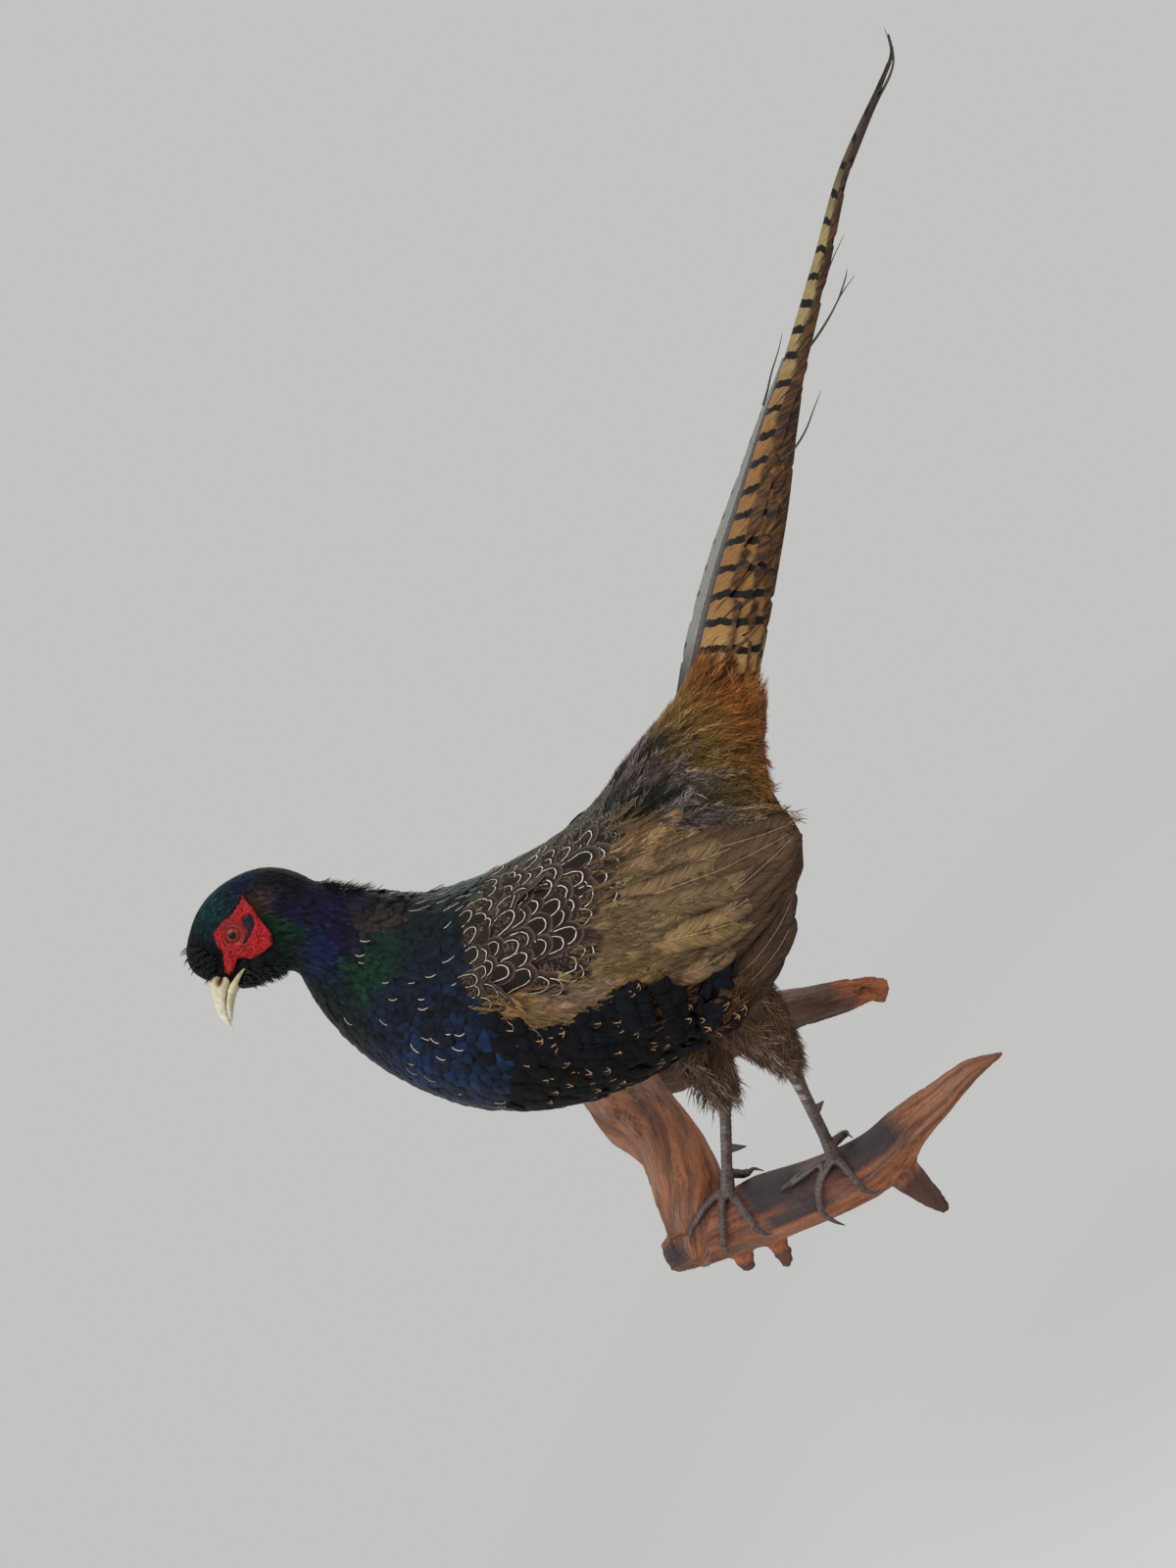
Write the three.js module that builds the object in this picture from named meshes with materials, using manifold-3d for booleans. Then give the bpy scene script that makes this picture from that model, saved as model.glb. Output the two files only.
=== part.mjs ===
// A mounted cock pheasant, life size, standing on the driftwood that hangs it on a wall.
// Millimetres, +Z up. The wall is the plane y = 0, the bird faces -X and its left side faces -Y.
// The origin lies on the flat sawn back of the driftwood.
import * as THREE from 'three';
import { mergeVertices } from 'three/addons/utils/BufferGeometryUtils.js';
import Module from 'manifold-3d';

const wasm = await Module();
wasm.setup();

// ---- driving dimensions, mm and degrees ----
const gap = 0.4; // clearance kept between touching pieces
const flatness = 0.14; // most that a face may be moved when its neighbours are merged with it
const midY = -205; // the trunk's plane of symmetry

const headCentre = new THREE.Vector3(-14, -222, 270);
const headPitch = 20; // bill below the horizontal
const headTurn = 14; // towards the left side
const eyeRadius = 6;
const eyePlace = new THREE.Vector3(5.6, 12.9, 4.3); // forward, left, up of the head's centre
const wattleRise = 1.6;
const headWidth = 40;

const wingRise = 6; // the folded wing over the flank, at its middle
const wingEdge = 3;
const wingFullness = 0.7; // how soon the wing rises from its edges: less is sooner
const wingDepth = 9; // from its outer face inwards, before the body is cut from it
const wingReach = 44; // least distance of the free wing from the plane of symmetry

const featherStep = 2.2; // from one layer of tail feathers to the next
const featherEdge = 0.7;
const shaftDepth = 1.5;
const featherTip = 1.3; // width left at a feather's tip
const archEnd = 174; // how far off the ridge a feather may wrap before it meets its twin

const tarsusRadius = 3.9;
const toeRadius = 3;
const clawRadius = 1.5;

const leastRadius = 0.25; // of any limb, at its tip
const woodWave = 0.06; // how far the wood's surface swells and sinks, of its radius
const perchWave = 0.03;

// ---- solids ----
const vec = (x, y, z) => new THREE.Vector3(x, y, z);
const radians = THREE.MathUtils.degToRad;

// A closed body through rings that have the same number of points, capped at both ends.
function loft(rings) {
  const sides = rings[0].length;
  const positions = rings.flat().flatMap((p) => [p.x, p.y, p.z]);
  const faces = [];
  for (let i = 0; i + 1 < rings.length; i++) {
    for (let j = 0; j < sides; j++) {
      const a = i * sides + j;
      const b = i * sides + ((j + 1) % sides);
      faces.push(a, b, b + sides, a, b + sides, a + sides);
    }
  }
  const closeEnd = (ring, first, isStart) => {
    const middle = ring.reduce((sum, p) => sum.add(p), vec(0, 0, 0)).divideScalar(sides);
    const centre = positions.length / 3;
    positions.push(middle.x, middle.y, middle.z);
    for (let j = 0; j < sides; j++) {
      const edge = [first + j, first + ((j + 1) % sides)];
      if (isStart) edge.reverse();
      faces.push(...edge, centre);
    }
  };
  closeEnd(rings[0], 0, true);
  closeEnd(rings.at(-1), (rings.length - 1) * sides, false);
  const geometry = new THREE.BufferGeometry();
  geometry.setAttribute('position', new THREE.Float32BufferAttribute(positions, 3));
  geometry.setIndex(faces);
  return geometry;
}

// Turns a closed geometry's faces outwards, whichever way its rings run.
function facingOut(geometry) {
  const index = geometry.index.array;
  const corner = (i) => vec().fromBufferAttribute(geometry.attributes.position, index[i]);
  let volume = 0;
  for (let i = 0; i < index.length; i += 3) volume += corner(i).dot(corner(i + 1).cross(corner(i + 2)));
  if (volume < 0) index.reverse();
  return geometry;
}

// A geometry with nothing but its places, each shared by the faces that meet there.
function welded(geometry) {
  const bare = geometry.clone();
  bare.deleteAttribute('normal');
  bare.deleteAttribute('uv');
  return mergeVertices(bare, 1e-4);
}

// A geometry as a solid that can be joined and cut.
function solidOf(geometry) {
  const merged = facingOut(welded(geometry));
  return new wasm.Manifold(
    new wasm.Mesh({
      numProp: 3,
      vertProperties: new Float32Array(merged.attributes.position.array),
      triVerts: new Uint32Array(merged.index.array),
    }),
  );
}

// The largest single body of a solid, back as a geometry.
function geometryOf(solid) {
  const bodies = solid.decompose();
  const largest = bodies.reduce((best, body) => (body.volume() > best.volume() ? body : best));
  const mesh = largest.simplify(flatness).getMesh();
  const geometry = new THREE.BufferGeometry();
  geometry.setAttribute('position', new THREE.BufferAttribute(new Float32Array(mesh.vertProperties), 3));
  geometry.setIndex(new THREE.BufferAttribute(new Uint32Array(mesh.triVerts), 1));
  return geometry;
}

const cutBy = (solid, tools) => tools.reduce((rest, tool) => rest.subtract(tool), solid);

// A tapering round limb: each station is [x, y, z, radius]; wave roughens it as weathered wood.
function limb(stations, { sides, steps, grow = 0, wave = 0 }) {
  const path = new THREE.CatmullRomCurve3(stations.map(([x, y, z]) => vec(x, y, z)));
  const size = new THREE.CatmullRomCurve3(stations.map(([, , , r]) => vec(r, 0, 0)));
  const count = (stations.length - 1) * steps;
  const rings = [];
  let across = vec(0.13, 1, 0.07); // no limb runs this way
  for (let i = 0; i <= count; i++) {
    const t = i / count;
    const centre = path.getPoint(t);
    const along = path.getTangent(t);
    across = across.clone().addScaledVector(along, -across.dot(along)).normalize();
    const other = vec().crossVectors(along, across);
    const ring = [];
    for (let j = 0; j < sides; j++) {
      const turn = (2 * Math.PI * j) / sides;
      const ripple = Math.sin(3 * turn + i * 0.7) + 0.6 * Math.sin(5 * turn - i * 0.45 + 1);
      const radius = Math.max(size.getPoint(t).x, leastRadius) * (1 + wave * ripple) + grow;
      ring.push(
        centre.clone()
          .addScaledVector(across, radius * Math.cos(turn))
          .addScaledVector(other, radius * Math.sin(turn)),
      );
    }
    rings.push(ring);
  }
  return solidOf(loft(rings));
}

// ---- head, neck, trunk and rump: one form, parted by thin cuts ----
const headFrame = new THREE.Matrix4()
  .makeRotationZ(radians(headTurn))
  .multiply(new THREE.Matrix4().makeRotationY(radians(-headPitch)))
  .multiply(new THREE.Matrix4().makeBasis(vec(-1, 0, 0), vec(0, -1, 0), vec(0, 0, 1)));
headFrame.setPosition(headCentre);
const fromHead = (forward, left, up) => vec(forward, left, up).applyMatrix4(headFrame);

// A level slice of the head: its height, its reach back and forward, and half its width.
const headSlice = (up, back, front, halfWidth, taper = 0.38) => ({
  back: fromHead(back, 0, up),
  front: fromHead(front, 0, up),
  halfWidth,
  turn: headTurn,
  taper,
});

// A slice of the body between its back line and its breast or belly line.
const bodySlice = (backX, backZ, frontX, frontZ, halfWidth, y = midY, turn = 0) => {
  const swing = ((backX - frontX) / 2) * Math.sin(radians(turn));
  return {
    back: vec(backX, y + swing, backZ),
    front: vec(frontX, y - swing, frontZ),
    halfWidth,
    turn,
    taper: 0,
  };
};

const slices = [
  headSlice(29.5, 3, 16, 4),
  headSlice(27.5, -6, 26, 9),
  headSlice(22, -17, 34, 13.5),
  headSlice(13, -27, 37, 16.5),
  headSlice(4, -33, 36.5, 17.6),
  headSlice(-6, -36, 35, 18),
  headSlice(-17, -36, 29, 18.6, 0.34),
  headSlice(-31, -34, 15.5, 20, 0.2),
  bodySlice(37, 236, -22, 226, 24, -214, 9),
  bodySlice(53, 212, -33, 203, 32, -208, 4),
  bodySlice(71, 198, -36, 171, 43),
  bodySlice(89, 188, -30, 137, 52),
  bodySlice(109, 178, -14, 101, 60),
  bodySlice(130, 171, 17, 69, 64),
  bodySlice(152, 167, 54, 47, 66),
  bodySlice(174, 167, 94, 36, 65),
  bodySlice(196, 168, 138, 37, 59),
  bodySlice(216, 168, 181, 52, 50, -203),
  bodySlice(231, 168, 219, 84, 40, -200),
  bodySlice(242, 169, 244, 112, 30, -197),
  bodySlice(253, 172, 264, 130, 23, -195),
];
const cuts = { neck: 7, neckMiddle: 9, trunk: 11, rump: 18 }; // slice numbers where parts meet
const lastSlice = slices.length - 1;
const sidesRound = 20;
const stepsPerSlice = 2;
const roundness = 0.92; // of every outline round the body: 1 is an ellipse, less is squarer

const backLine = new THREE.CatmullRomCurve3(slices.map((s) => s.back), false, 'catmullrom', 0.5);
const frontLine = new THREE.CatmullRomCurve3(slices.map((s) => s.front), false, 'catmullrom', 0.5);
const sizes = new THREE.CatmullRomCurve3(
  slices.map((s) => vec(s.halfWidth, s.turn, s.taper)), false, 'catmullrom', 0.5,
);

// The body's outline round slice number n, which may lie between two slices.
function bodyRing(n, grow = 0) {
  const back = backLine.getPoint(n / lastSlice);
  const front = frontLine.getPoint(n / lastSlice);
  const size = sizes.getPoint(n / lastSlice);
  const centre = back.clone().add(front).divideScalar(2);
  const reach = front.clone().sub(back).divideScalar(2);
  const left = vec(Math.sin(radians(size.y)), -Math.cos(radians(size.y)), 0);
  reach.setLength(reach.length() + grow);
  return Array.from({ length: sidesRound }, (_, j) => {
    const turn = (2 * Math.PI * j) / sidesRound;
    const fore = Math.sign(Math.cos(turn)) * Math.abs(Math.cos(turn)) ** roundness;
    const aside = Math.sign(Math.sin(turn)) * Math.abs(Math.sin(turn)) ** roundness;
    const half = size.x * (1 - size.z * fore) + grow;
    return centre.clone().addScaledVector(reach, fore).addScaledVector(left, half * aside);
  });
}

// The body between two slice numbers, with half a gap left at each cut.
function bodyLength(from, to, grow = 0) {
  const spacing = (n) => slices[n].back.distanceTo(slices[n - 1].back);
  const start = from === 0 ? 0 : from + gap / spacing(from);
  const end = to === lastSlice ? to : to - gap / spacing(to);
  const count = (to - from) * stepsPerSlice;
  const ringAt = (_, i) => bodyRing(start + ((end - start) * i) / count, grow);
  return solidOf(loft(Array.from({ length: count + 1 }, ringAt)));
}

const bodyAround = bodyLength(cuts.neckMiddle, lastSlice, gap);
const headAround = bodyLength(0, cuts.neck, gap);

// Half the body's width at a point of its side view, or 0 outside it.
function bodySide(x, z) {
  for (let n = cuts.neckMiddle; n < lastSlice; n += 0.05) {
    const back = backLine.getPoint(n / lastSlice);
    const front = frontLine.getPoint(n / lastSlice);
    const reach = vec(front.x - back.x, 0, front.z - back.z);
    const across = (x - back.x) * reach.z - (z - back.z) * reach.x;
    if (across >= 0) {
      const share = ((x - back.x) * reach.x + (z - back.z) * reach.z) / reach.lengthSq();
      const fore = Math.min(1, Math.abs(2 * share - 1));
      return sizes.getPoint(n / lastSlice).x * (1 - fore ** (2 / roundness)) ** (roundness / 2);
    }
  }
  return 0;
}

// ---- bill, eyes and wattles, in the head's own frame ----
// Rings across the bill: [forward, top, bottom, half width]. Each half of the bill is widest
// a third of its height from the edge where the two halves meet.
const billSides = 10;
function billPart(stations, widest) {
  const rings = stations.map(([forward, top, bottom, halfWidth]) =>
    Array.from({ length: billSides }, (_, j) => {
      const turn = (2 * Math.PI * j) / billSides;
      const base = bottom + (top - bottom) * widest;
      const height = Math.sin(turn) > 0 ? top - base : base - bottom;
      return fromHead(forward, halfWidth * Math.cos(turn), base + height * Math.sin(turn));
    }),
  );
  return solidOf(loft(rings));
}
const billUpper = cutBy(
  billPart([
    [24, 10, -3.4, 7.6],
    [31, 11.6, -2.6, 7],
    [35.6, 10.7, -2, 6.2],
    [42, 6.6, -2.7, 5],
    [48.2, 2.6, -5, 3.6],
    [52.3, -1.4, -7.6, 2.2],
    [54.6, -5.6, -9.4, 1.2],
    [55.4, -9, -10.4, 0.5],
  ], 1 / 3),
  [headAround],
);
const billLower = cutBy(
  billPart([
    [20, -4.6, -9, 7],
    [31, -3, -7.4, 6.4],
    [37.4, -2.6, -7.1, 5.2],
    [44.3, -4, -7.9, 3.7],
    [49, -6.1, -9, 2.2],
    [51.3, -7.6, -9.4, 0.9],
  ], 2 / 3),
  [headAround],
);

const sphere = ({ x, y, z }, radius) =>
  solidOf(new THREE.SphereGeometry(radius, 10, 6).translate(x, y, z));

// The wattle's edge: forward and up of the head's centre, from its rear corner round by the top.
const wattleEdge = [
  [-16.5, 6.5], [-5.5, 8.3], [1.6, 12.7], [8.5, 15], [13.5, 11.7], [17.5, 6.8], [27, 3.2],
  [28, -0.6], [24, -2.2], [17, -2.6], [15, -10], [10.2, -14.2], [4, -18.2], [-1.8, -15.6], [-12, -1],
];

function wattle(side) {
  const outline = new THREE.Shape(wattleEdge.map(([forward, up]) => new THREE.Vector2(forward, up)));
  const prism = new THREE.ExtrudeGeometry(outline, { depth: headWidth, bevelEnabled: false });
  // The outline's plane becomes forward and up, and its depth runs out to one side.
  prism.applyMatrix4(new THREE.Matrix4().makeBasis(vec(1, 0, 0), vec(0, 0, 1), vec(0, side, 0)));
  prism.applyMatrix4(headFrame);
  const shell = bodyLength(0, cuts.neck, wattleRise).subtract(headAround);
  return shell.intersect(solidOf(prism));
}

// ---- wings ----
const wingUpper = [[59, 148], [80, 171], [125, 163], [170, 143], [205, 116], [228, 90]];
const wingLower = [[62, 126], [85, 97], [125, 76], [165, 63], [201, 57], [223, 75]];
const inProfile = (points) => new THREE.CatmullRomCurve3(points.map(([x, z]) => vec(x, 0, z)));

function wing(side, grow = 0) {
  const upper = inProfile(wingUpper);
  const lower = inProfile(wingLower);
  const lengthwise = 8;
  const across = 5;
  const rings = Array.from({ length: lengthwise + 1 }, (_, i) => {
    const top = upper.getPoint(i / lengthwise);
    const bottom = lower.getPoint(i / lengthwise);
    const outer = [];
    const inner = [];
    for (let j = 0; j <= across; j++) {
      const share = j / across;
      const point = top.clone().lerp(bottom, share);
      const rise = wingEdge + (wingRise - wingEdge) * Math.sin(Math.PI * share) ** wingFullness;
      const depth = Math.max(bodySide(point.x, point.z), wingReach) + rise;
      outer.push(vec(point.x, midY - side * (depth + grow), point.z));
      inner.push(vec(point.x, midY - side * (depth - wingDepth - grow), point.z));
    }
    return [...outer, ...inner.reverse()];
  });
  return solidOf(loft(rings));
}

// ---- tail: layers of long feathers over one another, like a roof ----
// Each station of the tail's axis: [x, y, z, radius of the outer layer's arch].
const tailStations = [
  [243, -195, 142, 19],
  [275, -193, 158.5, 21],
  [313, -191, 178, 20],
  [347, -189, 195, 17.5],
  [387, -187, 217, 13],
  [406, -186, 228, 9.5],
  [459, -184, 255, 5.6],
  [502, -182, 276, 4],
  [545, -181, 289, 2.4],
  [562, -180, 295, 1.7],
  [569, -180, 304, 1.2],
];
const tailAxis = new THREE.CatmullRomCurve3(tailStations.map(([x, y, z]) => vec(x, y, z)));
const tailArch = new THREE.CatmullRomCurve3(tailStations.map(([, , , r]) => vec(r, 0, 0)));
const tailLength = tailAxis.getLength();

// One feather: section(s) gives points [left, up, normal left, normal up] across it at distance s.
function tailFeather(length, section, steps) {
  const rings = [];
  for (let i = 0; i <= steps; i++) {
    const s = (length * i) / steps;
    const t = tailAxis.getUtoTmapping(0, Math.min(s, tailLength));
    const along = tailAxis.getTangent(t);
    const left = vec(0, -1, 0).addScaledVector(along, along.y).normalize();
    const up = vec().crossVectors(left, along).normalize();
    if (up.z < 0) up.negate();
    const centre = tailAxis.getPoint(t);
    const points = section(s, tailArch.getPoint(t).x);
    const place = ([l, u, nl, nu], offset) =>
      centre.clone().addScaledVector(left, l + nl * offset).addScaledVector(up, u + nu * offset);
    const half = (j) => {
      const fromEdge = 1 - Math.abs((2 * j) / (points.length - 1) - 1);
      return (featherEdge + (shaftDepth - featherEdge) * fromEdge) / 2;
    };
    const over = points.map((p, j) => place(p, half(j)));
    const under = points.map((p, j) => place(p, -half(j)));
    rings.push([...over, ...under.reverse()]);
  }
  return solidOf(loft(rings));
}

const acrossFeather = [0, 1 / 3, 2 / 3, 1];
const raisedAside = 1; // of the slipped feather's root from the ridge

// A feather lying on the arch of its layer, from an angle off the ridge down one side.
function archedFeather({ side, layer, length, width, from, steps }) {
  const section = (s, arch) => {
    const radius = Math.max(arch - layer * featherStep, 1);
    const span = width * (1 - (s / length) ** 1.3) + featherTip;
    return acrossFeather.map((share) => {
      const angle = Math.min(radians(from) + (span * share) / radius, radians(archEnd));
      const l = side * Math.sin(angle);
      const u = Math.cos(angle);
      return [l * radius, u * radius, l, u];
    });
  };
  return tailFeather(length, section, steps);
}

// A feather that has slipped out of the fan and stands on edge above the ridge, on the right.
function raisedFeather({ length, height, lean, clear }) {
  const [across, up] = [Math.sin(radians(lean)), Math.cos(radians(lean))];
  const section = (s, arch) => {
    const span = height * (1 - (s / length) ** 2) + featherTip;
    return acrossFeather.map((share) => {
      const out = arch + clear + span * share;
      return [-out * across - raisedAside, out * up, -up, -across];
    });
  };
  return tailFeather(length, section, 8);
}

const tailPairs = [
  { layer: 0, length: tailLength, width: 27, from: 3, steps: 12 },
  { layer: 1, length: 278, width: 27, from: 26, steps: 10 },
  { layer: 2, length: 231, width: 26, from: 48, steps: 8 },
  { layer: 3, length: 198, width: 23, from: 72, steps: 7 },
  { layer: 4, length: 176, width: 17, from: 94, steps: 6 },
];
const raised = { length: 194, height: 7, lean: 16, clear: 1.6 };

// ---- driftwood ----
// Stations of each limb: [x, y, z, radius].
const perchStations = [
  [-31, -178, -49, 10],
  [-14, -180, -52, 15],
  [10, -182, -60, 18],
  [34, -183, -70, 20.5],
  [61, -184, -84, 19],
  [88, -184, -95, 17.5],
  [108, -184, -98.5, 16],
  [127, -184, -98, 13],
  [151, -186, -100, 10],
  [175, -188, -100.5, 6.8],
  [195, -190, -107, 1.5],
];
const wallLimb = [
  [-26, -16, 24, 13], [-8, -18, 14, 23], [23, -19, -9, 24], [62, -21, -27, 18.5],
  [100, -23, -45, 15.5], [119, -24, -57, 14], [140, -25, -71, 12.5], [155, -25, -82, 9],
  [163, -25, -92, 3],
];
const armLimb = [
  [-12, -14, 18, 27], [-9, -55, 14, 29], [1, -98, 3, 26], [12, -138, -14, 22],
  [5, -164, -36, 24], [-9, -181, -51, 18],
];
const lowerStub = [
  [104, -184, -102, 13], [103, -184, -120, 11], [102, -183, -138, 7], [102, -182, -150, 3.5],
];
const rootStubs = [
  [[4, -184, -74, 8], [1, -186, -81, 6.5], [-1, -187, -86, 3.5]],
  [[23, -184, -82, 7], [20, -188, -94, 6], [16, -190, -100, 2.5]],
];
const perchSlope = radians(22);

// The perch's axis and radius above or below x, by straight lines between its stations.
function perchAt(x) {
  const next = perchStations.findIndex(([stationX]) => stationX > x);
  const [a, b] = [perchStations[next - 1], perchStations[next]];
  const share = (x - a[0]) / (b[0] - a[0]);
  return a.map((value, i) => value + (b[i] - value) * share);
}

// A point lying on the perch: x along it, degrees round it from the top towards the left side.
function onPerch(x, angle, lift) {
  const [, y, z, radius] = perchAt(x);
  const aside = (radius + lift) * Math.sin(radians(angle));
  const above = ((radius + lift) * Math.cos(radians(angle))) / Math.cos(perchSlope);
  return [x, y - aside, z + above];
}

// ---- legs ----
// Toes as [x along the perch, degrees round it] from the foot out to the claw's root, then its tip.
const legs = {
  right: {
    thigh: [[96, -178, 66, 27], [90, -180, 40, 22], [81, -182, 18, 13], [74, -185, 0, 6.5]],
    hock: [73, -186, -3],
    foot: [28, -189, -43],
    spur: { place: 0.56, direction: [0.64, 0.1, -0.76], length: 13 },
    toes: {
      inner: { path: [[29, 22], [29.5, 51], [27, 81]], tip: [30, 104, 0.9] },
      middle: { path: [[24, 20], [15, 56], [6, 88]], tip: [3, 112, 0.9] },
      outer: { path: [[20, 11], [10, 24], [-2, 42]], tip: [-9, 66, 0.9] },
      hind: { root: 0.8, path: [[37, -26], [40, -31]], tip: [47, -30, 1.5] },
    },
  },
  left: {
    thigh: [[132, -236, 60, 27], [130, -236, 38, 22], [125, -234, 14, 13], [120, -232, -5, 6.5]],
    hock: [119, -232, -8],
    foot: [86, -192, -75],
    spur: { place: 0.46, direction: [0.95, 0.1, -0.25], length: 9 },
    toes: {
      inner: { path: [[80, 24], [69, 31], [59, 39]], tip: [50, 46, 0.9] },
      middle: { path: [[80, 36], [68, 62], [61, 88], [59, 104]], tip: [63, 119, 9] },
      outer: { path: [[87, 42], [86, 66], [85, 92]], tip: [90, 116, 0.9] },
      hind: { root: 0.86, path: [[95, -14], [98, -16]], tip: [100, 4, 1] },
    },
  },
};

// A place down the tarsus, as a share of the way from the hock to the foot.
const downTarsus = (leg, share) => vec(...leg.hock).lerp(vec(...leg.foot), share);

function tarsus(leg, grow = 0) {
  const at = (share) => downTarsus(leg, share).toArray();
  return limb(
    [
      [...at(-0.02), tarsusRadius + 1.3],
      [...at(0.08), tarsusRadius + 0.7],
      [...at(0.25), tarsusRadius - 0.2],
      [...at(0.75), tarsusRadius - 0.3],
      [...at(0.93), tarsusRadius + 0.8],
      [...at(1.04), tarsusRadius + 0.3],
    ],
    { sides: 8, steps: 2, grow },
  );
}

function toe(leg, { root = 1, path }, grow = 0) {
  const points = path.map(([x, angle]) => onPerch(x, angle, toeRadius + gap));
  const stations = [[...downTarsus(leg, root).toArray(), toeRadius + 0.4]];
  points.forEach((point, i) => stations.push([...point, toeRadius - 0.35 * i]));
  return limb(stations, { sides: 6, steps: 2, grow });
}

function claw(leg, { path, tip }, grow = 0) {
  const [rootX, rootAngle] = path.at(-1);
  const [tipX, tipAngle, tipLift] = tip;
  const root = onPerch(rootX, rootAngle, toeRadius + gap);
  const knuckle = onPerch((rootX + tipX) / 2, (rootAngle + tipAngle) / 2, toeRadius + 1 + tipLift / 3);
  const end = onPerch(tipX, tipAngle, tipLift);
  const stations = [[...root, clawRadius + 0.3], [...knuckle, clawRadius], [...end, 0.3]];
  return limb(stations, { sides: 5, steps: 2, grow });
}

function spur(leg, grow = 0) {
  const root = downTarsus(leg, leg.spur.place);
  const direction = vec(...leg.spur.direction).normalize();
  const at = (share, lift) => {
    const point = root.clone().addScaledVector(direction, leg.spur.length * share);
    return [point.x, point.y, point.z + lift];
  };
  const stations = [[...at(0.1, 0), 3.2], [...at(0.5, 0.2), 2], [...at(1, 1.2), 0.4]];
  return limb(stations, { sides: 6, steps: 2, grow });
}

// ---- the finished nodes ----
const pheasant = new THREE.Group();

const finishes = {
  crown: { color: 0x16201f, roughness: 0.55, metalness: 0 },
  neck: { color: 0x141a38, roughness: 0.5, metalness: 0 },
  breast: { color: 0x15203a, roughness: 0.5, metalness: 0 },
  mantle: { color: 0x2a201a, roughness: 0.75, metalness: 0 },
  rump: { color: 0x7a4a22, roughness: 0.85, metalness: 0 },
  wing: { color: 0x7a6450, roughness: 0.8, metalness: 0 },
  thigh: { color: 0x4a3626, roughness: 0.9, metalness: 0 },
  tail: { color: 0x9a7448, roughness: 0.7, metalness: 0 },
  slippedFeather: { color: 0x6f7478, roughness: 0.7, metalness: 0 },
  scutes: { color: 0x5b4f49, roughness: 0.55, metalness: 0 },
  horn: { color: 0xd9cfae, roughness: 0.4, metalness: 0 },
  hornDark: { color: 0x2b221d, roughness: 0.45, metalness: 0 },
  wattle: { color: 0xb80f12, roughness: 0.6, metalness: 0 },
  eye: { color: 0x8a2f14, roughness: 0.1, metalness: 0 },
  driftwood: { color: 0x8c4f2c, roughness: 0.85, metalness: 0 },
};

function addNode(name, solid, finish) {
  const mesh = new THREE.Mesh(geometryOf(solid), new THREE.MeshStandardMaterial(finishes[finish]));
  mesh.name = name;
  pheasant.add(mesh);
}

const sideSigns = { left: 1, right: -1 };
const eyeAt = (side) => fromHead(eyePlace.x, eyePlace.y * side, eyePlace.z);
const sockets = [sphere(eyeAt(1), eyeRadius + gap), sphere(eyeAt(-1), eyeRadius + gap)];

addNode('head', cutBy(bodyLength(0, cuts.neck), sockets), 'crown');
addNode('neck_upper', bodyLength(cuts.neck, cuts.neckMiddle), 'neck');
addNode('neck_lower', bodyLength(cuts.neckMiddle, cuts.trunk), 'breast');
addNode('trunk', bodyLength(cuts.trunk, cuts.rump), 'mantle');
addNode('rump', bodyLength(cuts.rump, lastSlice), 'rump');
addNode('bill_upper', billUpper, 'horn');
addNode('bill_lower', billLower, 'horn');
for (const [name, side] of Object.entries(sideSigns)) {
  addNode(`eye_${name}`, sphere(eyeAt(side), eyeRadius), 'eye');
  addNode(`wattle_${name}`, cutBy(wattle(side), sockets), 'wattle');
  addNode(`wing_${name}`, cutBy(wing(side), [bodyAround]), 'wing');
}

tailPairs.forEach((pair, i) => {
  for (const [name, side] of Object.entries(sideSigns)) {
    const feather = archedFeather({ ...pair, side });
    addNode(`tail_${name}_${i + 1}`, cutBy(feather, [bodyAround]), 'tail');
  }
});
addNode('tail_right_raised', cutBy(raisedFeather(raised), [bodyAround]), 'slippedFeather');

const footPrints = [];
const wingsAround = [wing(1, gap), wing(-1, gap)];
for (const [name, leg] of Object.entries(legs)) {
  const thigh = limb(leg.thigh, { sides: 10, steps: 2 });
  const thighAround = limb(leg.thigh, { sides: 10, steps: 2, grow: gap });
  const tarsusAround = tarsus(leg, gap);
  addNode(`thigh_${name}`, cutBy(thigh, [bodyAround, ...wingsAround]), 'thigh');
  addNode(`tarsus_${name}`, cutBy(tarsus(leg), [thighAround]), 'scutes');
  addNode(`spur_${name}`, cutBy(spur(leg), [tarsusAround]), 'hornDark');
  const placed = [tarsusAround, spur(leg, gap)];
  for (const [toeName, toeShape] of Object.entries(leg.toes)) {
    const toeAround = toe(leg, toeShape, gap);
    addNode(`toe_${name}_${toeName}`, cutBy(toe(leg, toeShape), placed), 'scutes');
    addNode(`claw_${name}_${toeName}`, cutBy(claw(leg, toeShape), [...placed, toeAround]), 'hornDark');
    placed.push(toeAround, claw(leg, toeShape, gap));
  }
  footPrints.push(...placed);
}

const wood = [
  limb(perchStations, { sides: 10, steps: 2, wave: perchWave }),
  limb(wallLimb, { sides: 9, steps: 2, wave: woodWave }),
  limb(armLimb, { sides: 10, steps: 2, wave: woodWave }),
  limb(lowerStub, { sides: 7, steps: 2, wave: woodWave }),
  ...rootStubs.map((stations) => limb(stations, { sides: 6, steps: 2, wave: woodWave })),
].reduce((whole, piece) => whole.add(piece));
const wallDepth = 100;
const wall = solidOf(new THREE.BoxGeometry(600, wallDepth, 600).translate(0, wallDepth / 2, 0));
addNode('driftwood', cutBy(wood, [wall, ...footPrints]), 'driftwood');

export default pheasant;
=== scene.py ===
import math

import bpy
import numpy as np
from mathutils import Matrix, Vector, noise
from mathutils.bvhtree import BVHTree
from mathutils.interpolate import poly_3d_calc
from mathutils.kdtree import KDTree


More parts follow.
